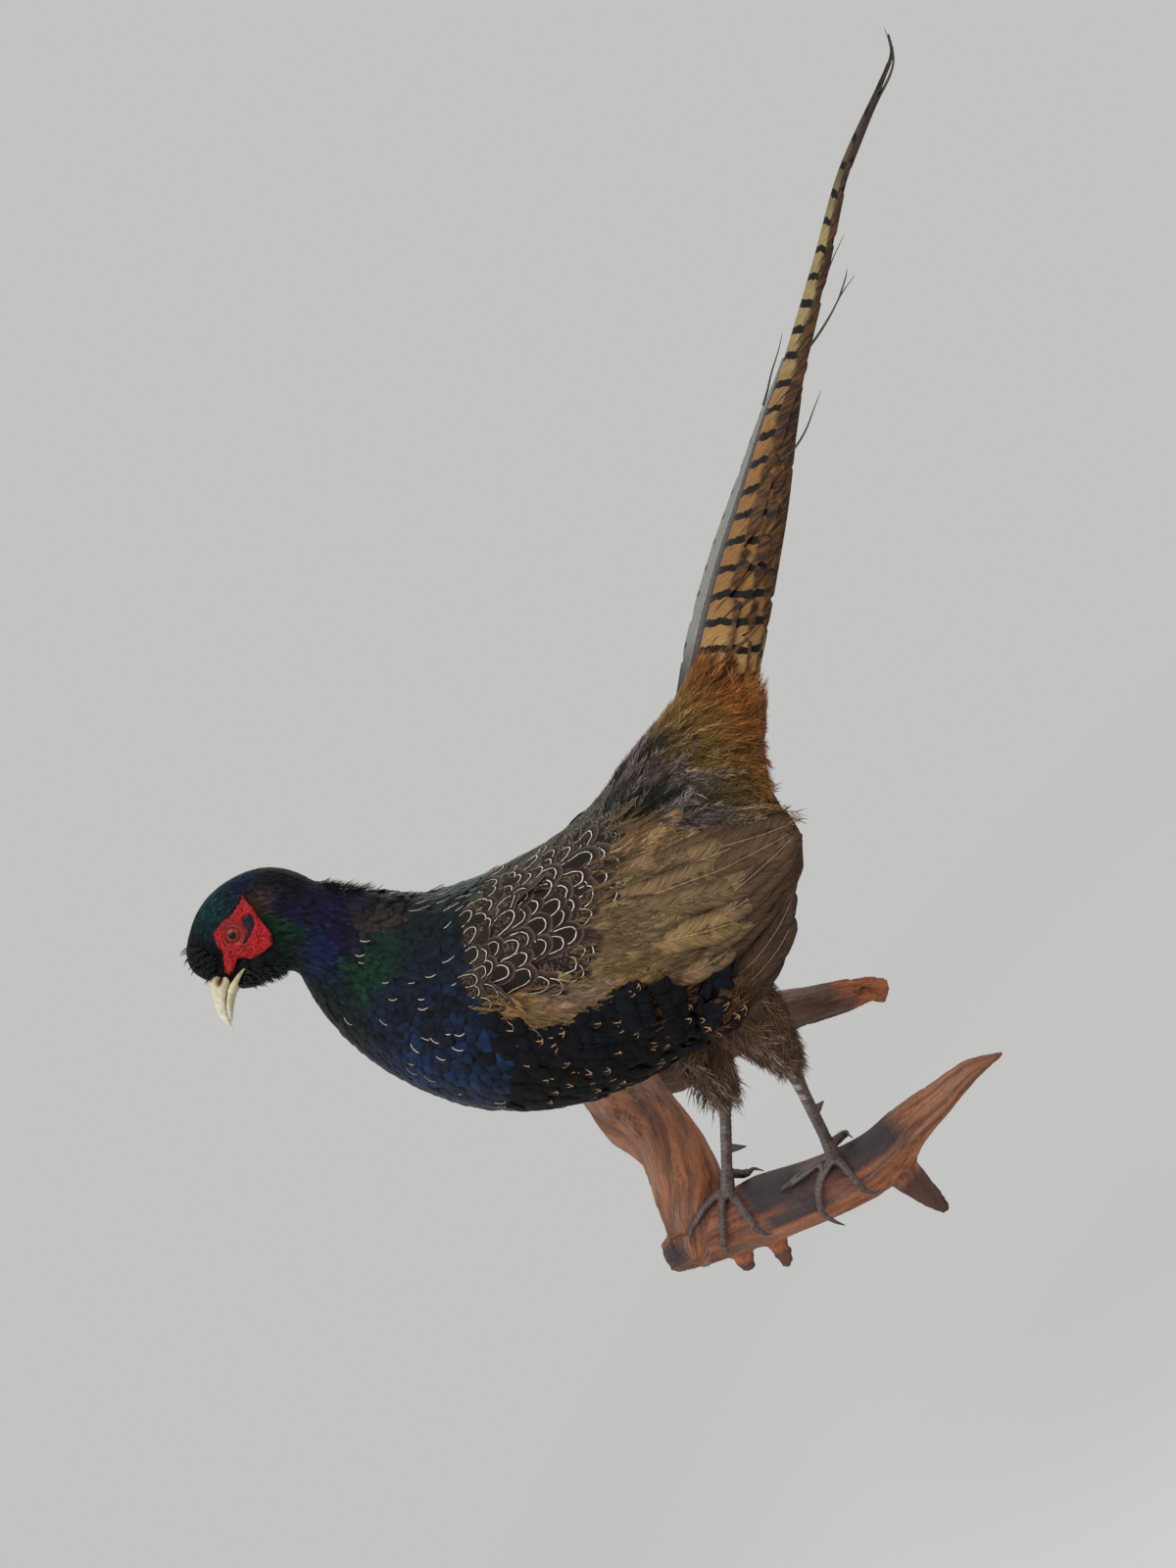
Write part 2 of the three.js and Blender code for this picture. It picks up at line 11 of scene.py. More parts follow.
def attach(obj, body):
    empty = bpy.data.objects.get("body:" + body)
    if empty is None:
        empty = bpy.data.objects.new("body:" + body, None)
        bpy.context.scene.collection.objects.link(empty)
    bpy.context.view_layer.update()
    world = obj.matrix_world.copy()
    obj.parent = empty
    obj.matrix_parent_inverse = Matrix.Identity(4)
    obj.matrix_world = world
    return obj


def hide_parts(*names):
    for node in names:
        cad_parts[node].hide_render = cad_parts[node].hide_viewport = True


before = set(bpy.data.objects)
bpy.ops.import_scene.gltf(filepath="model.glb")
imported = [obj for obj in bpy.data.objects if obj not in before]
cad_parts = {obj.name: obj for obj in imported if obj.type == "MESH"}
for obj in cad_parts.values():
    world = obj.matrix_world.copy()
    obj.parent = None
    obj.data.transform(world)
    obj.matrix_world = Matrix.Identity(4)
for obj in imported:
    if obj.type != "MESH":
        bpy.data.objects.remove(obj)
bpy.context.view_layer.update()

mm = 0.001
midPlane = -205  # y of the bird's own middle, in mm
dice = np.random.default_rng(11)


def rgb(r, g, b, lift=1.0):
    linear = [(c / 255 / 12.92) if c <= 10 else ((c / 255 + 0.055) / 1.055) ** 2.4 for c in (r, g, b)]
    return tuple(min(1.0, c * lift) for c in linear)


def unit(v):
    return v / np.maximum(np.linalg.norm(v, axis=-1, keepdims=True), 1e-12)


def sideView(places):  # x and z in mm
    return places[:, 0] / mm, places[:, 2] / mm


def offMiddle(places):
    return np.abs(places[:, 1] / mm - midPlane)


def smooth(low, high, x):
    t = np.clip((np.asarray(x, float) - low) / (high - low), 0, 1)
    return t * t * (3 - 2 * t)


class Value:  # a socket that can be used in sums
    def __init__(self, finish, socket):
        self.finish = finish
        self.socket = socket

    def maths(self, operation, *values):
        return self.finish.node("ShaderNodeMath", {"operation": operation}, dict(enumerate(values)))

    def __add__(self, other):
        return self.maths("ADD", self, other)

    def __radd__(self, other):
        return self.maths("ADD", other, self)

    def __sub__(self, other):
        return self.maths("SUBTRACT", self, other)

    def __rsub__(self, other):
        return self.maths("SUBTRACT", other, self)

    def __mul__(self, other):
        return self.maths("MULTIPLY", self, other)

    def __rmul__(self, other):
        return self.maths("MULTIPLY", other, self)

    def __truediv__(self, other):
        return self.maths("DIVIDE", self, other)

    def __pow__(self, other):
        return self.maths("POWER", self, other)

    def __abs__(self):
        return self.maths("ABSOLUTE", self)

    def most(self, other):
        return self.maths("MAXIMUM", self, other)

    def between(self, low, high):  # 0 at low, 1 at high, eased
        return self.finish.node(
            "ShaderNodeMapRange", {"interpolation_type": "SMOOTHSTEP"}, {0: self, 1: low, 2: high}
        )


class Finish:  # one material and its nodes
    def __init__(self, name, shine=0.5, **constants):
        self.material = bpy.data.materials.new(name)
        self.material.use_nodes = True
        self.tree = self.material.node_tree
        self.shader = self.tree.nodes["Principled BSDF"]
        self.shader.inputs["Specular IOR Level"].default_value = shine
        for socket, value in constants.items():
            self.shader.inputs[socket.replace("_", " ")].default_value = value

    def node(self, kind, settings=None, sockets=None, out=0):
        made = self.tree.nodes.new(kind)
        for key, value in (settings or {}).items():
            if key == "stops":
                ramp = made.color_ramp
                while len(ramp.elements) < len(value):
                    ramp.elements.new(0.5)
                for element, (place, colour) in zip(ramp.elements, value):
                    element.position = place
                    element.color = (*colour, 1)
            else:
                setattr(made, key, value)
        for key, value in (sockets or {}).items():
            self.join(value, made.inputs[key])
        return Value(self, made.outputs[out])

    def join(self, value, socket):
        if isinstance(value, Value):
            self.tree.links.new(value.socket, socket)
        elif isinstance(value, tuple) and len(value) == 3 and socket.type == "RGBA":
            socket.default_value = (*value, 1)
        else:
            socket.default_value = value

    def feed(self, socket, value):
        self.join(value, self.shader.inputs[socket])

    def blend(self, factor, a, b, kind="MIX"):
        return self.node("ShaderNodeMix", {"data_type": "RGBA", "blend_type": kind}, {0: factor, 6: a, 7: b}, 2)

    def part(self, vector, axis):
        return self.node("ShaderNodeSeparateXYZ", {}, {0: vector}, axis)

    def vector(self, x=0.0, y=0.0, z=0.0):
        return self.node("ShaderNodeCombineXYZ", {}, {0: x, 1: y, 2: z})

    def noise(self, place, scale, detail=2.0, rough=0.5, out=0):
        sockets = {"Vector": place, "Scale": scale, "Detail": detail, "Roughness": rough}
        return self.node("ShaderNodeTexNoise", {}, sockets, out)

    def attribute(self, name, out="Color"):
        return self.node("ShaderNodeAttribute", {"attribute_name": name}, {}, out)

    def uv(self, name):
        return self.node("ShaderNodeUVMap", {"uv_map": name})

    def place(self):  # the object's own coordinates, in metres
        return self.node("ShaderNodeTexCoord", {}, {}, "Object")

    def stretched(self, vector, scale):
        return self.node("ShaderNodeMapping", {}, {"Vector": vector, "Scale": scale})

    def ramp(self, factor, *stops):
        return self.node("ShaderNodeValToRGB", {"stops": stops}, {0: factor})

    def shaded(self, colour, factor, *stops):  # the colour times a grey that changes with the factor
        greys = self.ramp(factor, *[(place, (level,) * 3) for place, level in stops])
        return self.blend(1.0, colour, greys, "MULTIPLY")

    def bump(self, height, strength, distance):
        sockets = {"Height": height, "Strength": strength, "Distance": distance}
        self.feed("Normal", self.node("ShaderNodeBump", {}, sockets))


def only(obj):
    bpy.ops.object.select_all(action="DESELECT")
    obj.select_set(True)
    bpy.context.view_layer.objects.active = obj
    return obj


def worked(obj, kind, **settings):  # adds a modifier and applies it
    only(obj)
    modifier = obj.modifiers.new(kind.title(), kind)
    for key, value in settings.items():
        setattr(modifier, key, value)
    bpy.ops.object.modifier_apply(modifier=modifier.name)


def edited(obj, operator, **settings):  # one edit-mode operator on all of an object
    only(obj)
    bpy.ops.object.mode_set(mode="EDIT")
    bpy.ops.mesh.select_all(action="SELECT")
    operator(**settings)
    bpy.ops.object.mode_set(mode="OBJECT")


def perVertex(obj, what):
    flat = np.zeros(len(obj.data.vertices) * 3)
    obj.data.vertices.foreach_get(what, flat)
    return flat.reshape(-1, 3)


def placesOf(obj):
    return perVertex(obj, "co")


def normalsOf(obj):
    return perVertex(obj, "normal")


def setPlaces(obj, places):
    obj.data.vertices.foreach_set("co", np.ascontiguousarray(places, dtype=np.float32).ravel())
    obj.data.update()


def setValues(obj, name, values):  # one number or one colour for each vertex
    values = np.asarray(values, np.float32)
    kind = "FLOAT_COLOR" if values.ndim == 2 else "FLOAT"
    layer = obj.data.attributes.new(name, kind, "POINT")
    layer.data.foreach_set("color" if values.ndim == 2 else "value", values.ravel())


def setVectors(obj, name, values):
    layer = obj.data.attributes.new(name, "FLOAT_VECTOR", "POINT")
    layer.data.foreach_set("vector", values.astype(np.float32).ravel())


def setMap(obj, name, uv):  # a UV map from one pair for each vertex
    corners = np.zeros(len(obj.data.loops), np.int32)
    obj.data.loops.foreach_get("vertex_index", corners)
    layer = obj.data.uv_layers.new(name=name, do_init=False)
    layer.data.foreach_set("uv", np.asarray(uv, np.float32)[corners].ravel())


def meshOf(name, places, faces):  # faces is a list of arrays, each of one face size
    mesh = bpy.data.meshes.new(name)
    faces = [np.asarray(f, np.int32) for f in faces if len(f)]
    corners = np.concatenate([f.ravel() for f in faces])
    sizes = np.concatenate([np.full(len(f), f.shape[1], np.int32) for f in faces])
    mesh.vertices.add(len(places))
    mesh.vertices.foreach_set("co", np.asarray(places, np.float32).ravel())
    mesh.loops.add(len(corners))
    mesh.loops.foreach_set("vertex_index", corners)
    mesh.polygons.add(len(sizes))
    mesh.polygons.foreach_set("loop_start", np.concatenate([[0], np.cumsum(sizes)[:-1]]).astype(np.int32))
    mesh.polygons.foreach_set("loop_total", sizes)
    mesh.update(calc_edges=True)
    obj = bpy.data.objects.new(name, mesh)
    bpy.context.scene.collection.objects.link(obj)
    return obj


def softEdges(obj, degrees=55):
    only(obj)
    bpy.ops.object.shade_smooth_by_angle(angle=math.radians(degrees))


def shadeSmooth(obj):
    only(obj)
    bpy.ops.object.shade_smooth()


def nodeCopy(name, swell=0.0):  # a welded copy of a solid, grown outwards
    obj = bpy.data.objects.new(name + "_copy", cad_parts[name].data.copy())
    bpy.context.scene.collection.objects.link(obj)
    obj.data.materials.clear()
    edited(obj, bpy.ops.mesh.remove_doubles, threshold=0.02 * mm)
    if swell:
        setPlaces(obj, placesOf(obj) + normalsOf(obj) * swell)
    return obj


def oneForm(name, nodes, swell, voxel, rounds, factor=0.5):  # several solids as one smooth form
    copies = [nodeCopy(n, swell) for n in nodes]
    bpy.ops.object.select_all(action="DESELECT")
    for copy in copies:
        copy.select_set(True)
    bpy.context.view_layer.objects.active = copies[0]
    if len(copies) > 1:
        bpy.ops.object.join()
    form = copies[0]
    form.name = form.data.name = name
    worked(form, "REMESH", mode="VOXEL", voxel_size=voxel, use_smooth_shade=True)
    if rounds:
        worked(form, "SMOOTH", factor=factor, iterations=rounds)
    return form


def wear(obj, finish, slot, *nodes):
    obj.data.materials.clear()
    obj.data.materials.append(finish.material)
    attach(obj, "root")
    if nodes:
        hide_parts(*nodes)


def nearest(tree, places):  # the nearest places on a surface, their normals and distances
    found = [tree.find_nearest(Vector(p)) for p in places]
    spots = np.array([f[0] for f in found])
    ups = np.array([f[1] for f in found])
    return spots, ups, np.array([f[2] for f in found]), np.array([f[3] for f in found])


def curve(stations, count):  # a smooth line through stations, evenly numbered
    stations = np.asarray(stations, float)
    n = len(stations)
    padded = np.vstack([2 * stations[0] - stations[1], stations, 2 * stations[-1] - stations[-2]])
    t = np.linspace(0, n - 1, count)
    i = np.minimum(t.astype(int), n - 2)
    f = (t - i)[:, None]
    a, b, c, d = padded[i], padded[i + 1], padded[i + 2], padded[i + 3]
    return 0.5 * (2 * b + (c - a) * f + (2 * a - 5 * b + 4 * c - d) * f**2 + (3 * b - a - 3 * c + d) * f**3)


def tubeFaces(rings, sides):
    i, j = np.meshgrid(np.arange(rings - 1), np.arange(sides), indexing="ij")
    a = i * sides + j
    b = i * sides + (j + 1) % sides
    walls = np.stack([a, b, b + sides, a + sides], -1).reshape(-1, 4)
    return [walls, [np.arange(sides)[::-1]], [np.arange(sides) + (rings - 1) * sides]]


def strand(stations, thick, sides=5, count=26, tip=0.12):  # one tapering wire of a feather
    line = curve(stations, count)
    ahead = unit(np.gradient(line, axis=0))
    side = unit(np.cross(ahead, [0.13, 0.97, 0.2]))
    up = np.cross(side, ahead)
    size = (thick * (1 - np.linspace(0, 1, count) ** 1.5) + tip)[:, None, None]
    turn = np.arange(sides) * 2 * math.pi / sides
    ring = line[:, None] + size * (np.cos(turn)[:, None] * side[:, None] + np.sin(turn)[:, None] * up[:, None])
    return ring.reshape(-1, 3), tubeFaces(count, sides)


def joinedParts(name, parts):  # several closed parts as one mesh
    places, faces, start = [], {}, 0
    for points, groups in parts:
        places.append(points)
        for group in groups:
            for face in np.asarray(group):
                faces.setdefault(len(face), []).append(face + start)
        start += len(points)
    return meshOf(name, np.vstack(places) * mm, [np.array(f) for f in faces.values()])


print("camera, light and floor")
view = {
    "place": (0.252608, -0.848539, 0.202805),
    "right": (0.6333, 0.0528, -0.7721),
    "up": (0.7621, 0.1311, 0.6341),
    "back": (0.1347, -0.9900, 0.0428),
    "lens": 27,
}
bpy.ops.object.camera_add(location=view["place"])
camera = bpy.context.object
camera.data.lens = view["lens"]
camera.data.sensor_width = 36
camera.data.clip_start = 0.01
turn = Matrix((view["right"], view["up"], view["back"])).transposed()
camera.matrix_world = Matrix.Translation(view["place"]) @ turn.to_4x4()
bpy.context.scene.camera = camera

studio = {
    "pale": (0.80, 0.80, 0.79),
    "lamps": [
        {"from": (0.10, -1.30, 1.35), "size": 1.3, "power": 19},  # key, high in front
        {"from": (1.40, -0.75, 0.55), "size": 1.2, "power": 5},
        {"from": (-1.20, -0.70, 0.30), "size": 1.2, "power": 4.5},
        {"from": (0.20, 1.20, 0.95), "size": 1.3, "power": 6},  # from behind
    ],
    "aim": (0.16, -0.15, 0.10),
    "floorDepth": -0.52,
}
for lamp in studio["lamps"]:
    bpy.ops.object.light_add(type="AREA", location=lamp["from"])
    light = bpy.context.object
    light.data.size = lamp["size"]
    light.data.energy = lamp["power"]
    light.rotation_euler = (Vector(studio["aim"]) - Vector(lamp["from"])).to_track_quat("-Z", "Y").to_euler()

world = bpy.data.worlds.new("studio")
bpy.context.scene.world = world
world.use_nodes = True
world.node_tree.nodes["Background"].inputs["Color"].default_value = (*studio["pale"], 1)
world.node_tree.nodes["Background"].inputs["Strength"].default_value = 0.68
bpy.context.scene.view_settings.view_transform = "Standard"

bpy.ops.mesh.primitive_circle_add(vertices=96, radius=14, fill_type="NGON",
    location=(0.2, -0.2, studio["floorDepth"]))
floor = bpy.context.object
floor.name = "floor"
paper = Finish("floorPaper", shine=0.0, Roughness=0.9)
far = paper.node("ShaderNodeVectorMath", {"operation": "LENGTH"}, {0: paper.place()}, "Value").between(0.5, 1.6)
paper.feed("Base Color", paper.blend(far, (0.6, 0.6, 0.59), (0.0, 0.0, 0.0)))
paper.feed("Emission Color", paper.blend(far, (0.0, 0.0, 0.0), tuple(c * 0.68 for c in studio["pale"])))
paper.shader.inputs["Emission Strength"].default_value = 1.0
floor.data.materials.append(paper.material)

print("skin")
headFrame = {
    "centre": np.array([-14, -222, 270]) * mm,
    "forward": np.array([-0.9118, -0.2273, -0.3420]),
    "left": np.array([0.2419, -0.9703, 0.0]),
    "up": np.array([-0.3319, -0.0827, 0.9397]),
}


def headLocal(places):  # forward, left and up of the head's centre, in mm
    offset = (np.asarray(places) - headFrame["centre"]) / mm
    return np.stack([offset @ headFrame[k] for k in ("forward", "left", "up")], -1)


def fromHead(forward, left, up):
    f, l, u = np.broadcast_arrays(forward, left, up)
    steps = (
        f[..., None] * headFrame["forward"] + l[..., None] * headFrame["left"] + u[..., None] * headFrame["up"]
    )
    return headFrame["centre"] + steps * mm


skinPlan = {"voxel": 0.0021, "swell": 0.0006, "rounds": 7, "headDepth": 0.9, "neckDepth": 1.3, "bodyDepth": 2.4}
flesh = ["head", "neck_upper", "neck_lower", "trunk", "rump", "thigh_left", "thigh_right",
    "wing_left", "wing_right"]
skin = oneForm("skin", flesh, skinPlan["swell"], skinPlan["voxel"], skinPlan["rounds"])
skinPlaces = placesOf(skin)
height = skinPlaces[:, 2] / mm
depth = np.interp(height, [-10, 60, 190, 235, 262],
    [1.2, skinPlan["bodyDepth"], skinPlan["bodyDepth"], skinPlan["neckDepth"], skinPlan["headDepth"]])
setPlaces(skin, skinPlaces - normalsOf(skin) * (depth * mm)[:, None])
worked(skin, "SMOOTH", factor=0.5, iterations=2)
edited(skin, bpy.ops.uv.smart_project, angle_limit=math.radians(66), island_margin=0.004)
skinPlaces = placesOf(skin)
skinFaces = [tuple(p.vertices) for p in skin.data.polygons]
skinTree = BVHTree.FromPolygons([Vector(p) for p in skinPlaces], skinFaces)
skinUv = np.zeros(len(skin.data.loops) * 2)
skin.data.uv_layers.active.data.foreach_get("uv", skinUv)
skinUv = skinUv.reshape(-1, 2)
print("  skin faces", len(skinFaces))


def unwrapped(places, faces):  # where each place lies on the skin's unwrap
    out = np.zeros((len(places), 2))
    for i, (place, face) in enumerate(zip(places, faces)):
        polygon = skin.data.polygons[face]
        corners = [Vector(skinPlaces[v]) for v in polygon.vertices]
        shares = poly_3d_calc(corners, Vector(place))
        start = polygon.loop_start
        out[i] = sum(s * skinUv[start + k] for k, s in enumerate(shares))
    return out


tractShapes = [  # where each kind of feather grows, in the side view: the first that holds a place claims it
    ("rump", [(214, 210), (213, 168), (214, 150), (220, 122), (214, 84), (235, 60), (320, 60), (320, 220)]),
    ("lowerBack", [(158, 200), (157, 158), (168, 142), (180, 128), (201, 106), (214, 88), (222, 80),
        (240, 84), (240, 200)]),
    ("upperBack", [(98, 200), (100, 180), (114, 171), (130, 162), (136, 148), (152, 146),
        (158, 154), (160, 200)]),
    ("scapular", [(60, 187), (51, 170), (42, 161), (44, 149), (56, 148), (70, 141), (82, 128), (95, 131),
        (107, 137), (122, 142), (134, 148), (130, 162), (114, 171), (100, 180), (86, 188)]),
    ("shoulder", [(30, 240), (92, 208), (90, 190), (62, 188), (53, 170), (44, 161), (20, 186), (-2, 206),
        (6, 214), (24, 222)]),
    ("puff", [(38, 146), (48, 136), (50, 123), (62, 114), (88, 108), (97, 98), (98, 86), (94, 76), (96, 66),
        (104, 62), (106, 54), (98, 54), (92, 62), (92, 74), (76, 86), (56, 98), (42, 108), (32, 126)]),
    ("covert", [(40, 152), (46, 134), (50, 120), (62, 112), (90, 106), (106, 92), (112, 66), (134, 64),
        (180, 48), (245, 55), (245, 92), (205, 114), (168, 158), (134, 152), (120, 142), (95, 131), (82, 128),
        (70, 141), (56, 148)]),
    ("side", [(32, 128), (42, 108), (56, 98), (76, 86), (92, 74), (104, 60), (124, 50), (126, 44), (110, 20),
        (40, 20), (-20, 60), (-2, 104), (20, 116)]),
    ("vent", [(116, 50), (124, 57), (134, 66), (150, 62), (180, 50), (245, 55), (245, 84), (260, 110), (260, 0),
        (110, 0), (110, 20)]),
    ("neck", [(-60, 200), (-30, 198), (-2, 206), (20, 226), (46, 232), (60, 250), (60, 256), (30, 262),
        (14, 256), (-60, 252)]),
    ("head", [(-90, 250), (14, 256), (60, 262), (60, 320), (-90, 320)]),
    ("breast", [(-90, 0), (300, 0), (300, 320), (-90, 320)]),
]
tractNames = [name for name, _ in tractShapes] + ["thigh"]
waves = dice.normal(size=(14, 3))
waveStarts = dice.uniform(0, 6.3, 14)


def wobble(places, size):  # a soft random field between about -1 and 1
    return np.sin(np.asarray(places) / size @ waves.T * 1.7 + waveStarts).mean(-1) * 2.6


def insideBy(shape, x, z):  # how far inside a side-view shape, below 0 outside
    a = np.array(shape, float)
    b = np.roll(a, -1, 0)
    p = np.stack([x, z], -1)[:, None]
    edge = b - a
    share = np.clip(((p - a) * edge).sum(-1) / (edge**2).sum(-1), 0, 1)
    gap = np.linalg.norm(p - a - share[..., None] * edge, axis=-1).min(1)
    crosses = ((a[:, 1] > p[..., 1]) != (b[:, 1] > p[..., 1])) & (
        p[..., 0] < a[:, 0] + (p[..., 1] - a[:, 1]) * edge[:, 0] / np.where(edge[:, 1] == 0, 1e-9, edge[:, 1])
    )
    return np.where(crosses.sum(1) % 2 == 1, gap, -gap)


legAxes = {"left": ((132, -236, 60), (119, -232, -8)), "right": ((96, -178, 66), (73, -186, -3))}


def thighShare(places):  # above 0 near a thigh's own line, and where along it
    best = np.full(len(places), -1.0)
    for top, bottom in legAxes.values():
        a, b = np.array(top) * mm, np.array(bottom) * mm
        t = ((places - a) @ (b - a)) / ((b - a) @ (b - a))
        gap = np.linalg.norm(places - a - np.clip(t, 0, 1)[:, None] * (b - a), axis=1)
        best = np.maximum(best, np.where((gap < 0.026) & (t > 0.28), t, -1))
    return best


def tractAt(places, rough=2.0):
    x, z = sideView(places)
    shift = wobble(places, 0.011) * rough
    kind = np.full(len(places), -1)
    for i, (_, shape) in enumerate(tractShapes):
        kind = np.where((kind < 0) & (insideBy(shape, x, z) > shift), i, kind)
    aside = offMiddle(places) > 42  # the wing's end, beside the rump
    kind = np.where((kind == tractNames.index("rump")) & aside & (z < 118), tractNames.index("covert"), kind)
    lost = (kind == tractNames.index("breast")) & (x > 70)  # slips between the shapes
    kind = np.where(lost & (z > 100), tractNames.index("upperBack"),
        np.where(lost, tractNames.index("side"), kind))
    return np.where(thighShare(places) > 0, tractNames.index("thigh"), kind)


# the way the feathers lie: x, z of a place in the side view, then the direction there
lieGuides = np.array([
    (-40, 290, 0.94, 0.3), (-20, 300, 0.97, 0.2), (10, 296, 0.9, -0.4), (30, 272, 0.5, -0.85),
    (28, 250, 0.5, -0.85), (-35, 262, 0.9, -0.2), (-48, 250, 0.85, -0.4), (-38, 240, 0.85, -0.5),
    (-10, 262, 0.75, -0.65), (10, 270, 0.7, -0.7), (48, 222, 0.72, -0.69), (10, 238, 0.5, -0.86),
    (-22, 226, 0.15, -0.98), (0, 215, 0.4, -0.9), (71, 198, 0.9, -0.4), (30, 200, 0.72, -0.69),
    (60, 180, 0.97, -0.15), (-34, 180, 0.1, -1), (-30, 137, 0.35, -0.94), (-5, 160, 0.35, -0.93),
    (30, 150, 0.62, -0.78), (-10, 104, 0.66, -0.74), (20, 70, 0.9, -0.42), (20, 110, 0.68, -0.73),
    (60, 46, 1, -0.12), (60, 80, 0.85, -0.52), (60, 120, 0.7, -0.71), (110, 38, 1, 0.05),
    (100, 70, 0.9, -0.42), (110, 180, 0.97, -0.25), (150, 169, 1, -0.02), (190, 168, 0.99, 0.12),
    (80, 160, 0.93, -0.36), (110, 150, 0.9, -0.43), (75, 130, 0.74, -0.67), (110, 118, 0.78, -0.62),
    (140, 140, 0.86, -0.5), (170, 120, 0.84, -0.54), (210, 90, 0.85, -0.5), (120, 98, 0.86, -0.48),
    (150, 76, 0.95, -0.1), (190, 66, 0.97, 0.1), (170, 150, 0.95, -0.25), (200, 140, 0.85, -0.45),
    (236, 172, 0.92, 0.38), (250, 176, 0.9, 0.44), (232, 145, 0.86, -0.42), (232, 118, 0.5, -0.86),
    (224, 100, 0.25, -0.96), (262, 140, 0.8, 0.3), (250, 110, 0.8, 0.3), (200, 45, 0.9, 0.42),
    (160, 42, 0.97, 0.2), (230, 84, 0.86, 0.5),
])


def lieAt(places):
    x, z = sideView(places)
    weight = 1 / ((x[:, None] - lieGuides[:, 0]) ** 2 + (z[:, None] - lieGuides[:, 1]) ** 2 + 20) ** 2
    flat = weight @ lieGuides[:, 2:] / weight.sum(1, keepdims=True)
    heads = np.stack([flat[:, 0], np.zeros(len(x)), flat[:, 1]], -1)
    # the right thigh's plumes fan out forwards
    ahead = (places[:, 1] / mm > midPlane) * smooth(92, 72, x - 0.3 * z)
    down = unit(np.stack([-0.2 - 0.5 * ahead, 0.05 + 0 * x, -0.98 + 0.2 * ahead], -1))
    return np.where((thighShare(places) > 0)[:, None], down, unit(heads))


def lying(heads, ups):  # the headings laid flat on the skin
    return unit(heads - (heads * ups).sum(1, keepdims=True) * ups)


def mixed(a, b, share):
    return np.asarray(a) * (1 - share)[:, None] + np.asarray(b) * share[:, None]


palette = {
    "teal": rgb(15, 50, 52), "tealDark": rgb(10, 26, 31), "greenBlack": rgb(10, 20, 18),
    "violet": rgb(18, 13, 41), "neckBlue": rgb(12, 24, 56), "neckGreen": rgb(9, 43, 25),
    "blue": rgb(12, 32, 62), "blueDeep": rgb(11, 20, 40), "blueBright": rgb(17, 54, 96),
    "bellyBlack": rgb(16, 15, 16), "brown": rgb(92, 64, 46), "brownDark": rgb(52, 36, 26),
    "mantle": rgb(36, 27, 24), "tanGrey": rgb(122, 99, 70), "tan": rgb(148, 116, 70),
    "tanWarm": rgb(122, 92, 58), "covertDark": rgb(84, 60, 41), "puff": rgb(10, 10, 13),
    "puffBlue": rgb(13, 16, 26), "olive": rgb(158, 124, 68), "purpleGrey": rgb(138, 120, 118),
    "greenGrey": rgb(46, 52, 38), "rust": rgb(150, 92, 42), "rustBright": rgb(178, 118, 58),
    "black": rgb(8, 8, 9), "fluff": rgb(124, 98, 76), "fluffPale": rgb(176, 160, 148),
    "earBrown": rgb(58, 44, 36),
}
tints = [  # x, z of a place on the head, neck or breast, its reach and its colour
    (-46, 284, 1.2, "teal"), (-24, 303, 1.3, "teal"), (-34, 292, 1.0, "tealDark"), (-4, 300, 0.9, "tealDark"),
    (2, 290, 0.6, "neckBlue"), (16, 290, 0.9, "black"), (26, 274, 1.0, "black"), (-36, 254, 1.2, "black"),
    (-36, 240, 1.2, "black"), (-48, 268, 0.7, "black"), (-2, 256, 0.8, "neckGreen"),
    (2, 270, 0.6, "earBrown"), (14, 258, 1.0, "violet"), (28, 248, 1.0, "violet"), (18, 232, 1.0, "violet"),
    (2, 236, 1.0, "neckBlue"), (-14, 244, 0.8, "greenBlack"), (8, 213, 1.0, "neckGreen"),
    (20, 210, 0.8, "neckGreen"), (-8, 212, 0.8, "tealDark"), (-20, 226, 1.0, "greenBlack"),
    (32, 222, 0.7, "earBrown"), (48, 228, 0.8, "greenBlack"), (44, 204, 1.0, "greenBlack"),
    (66, 196, 1.2, "tealDark"), (80, 202, 0.8, "teal"), (-24, 196, 1.0, "greenBlack"),
    (0, 186, 1.0, "blueDeep"), (-32, 164, 1.0, "blueDeep"), (-12, 156, 1.0, "blue"),
    (22, 172, 1.0, "blueDeep"), (40, 156, 1.0, "blueDeep"), (34, 184, 0.7, "violet"), (26, 138, 1.0, "blue"),
    (6, 128, 1.0, "blue"), (34, 118, 0.9, "blueDeep"), (-16, 122, 1.0, "blueDeep"),
]
tintPlaces = np.array([t[:2] for t in tints], float)
tintReach = np.array([t[2] for t in tints])
tintTones = np.array([palette[t[3]] for t in tints])


def sheenAt(places):  # the dark front of the bird: soft patches that run into one another
    x = places[:, 0] / mm + wobble(places, 0.009) * 4
    z = places[:, 2] / mm + wobble(places + 1.3, 0.009) * 4
    gap = (x[:, None] - tintPlaces[:, 0]) ** 2 + (z[:, None] - tintPlaces[:, 1]) ** 2
    weight = (tintReach**2 / (gap + 16)) ** 2.2
    return weight @ tintTones / weight.sum(1, keepdims=True)


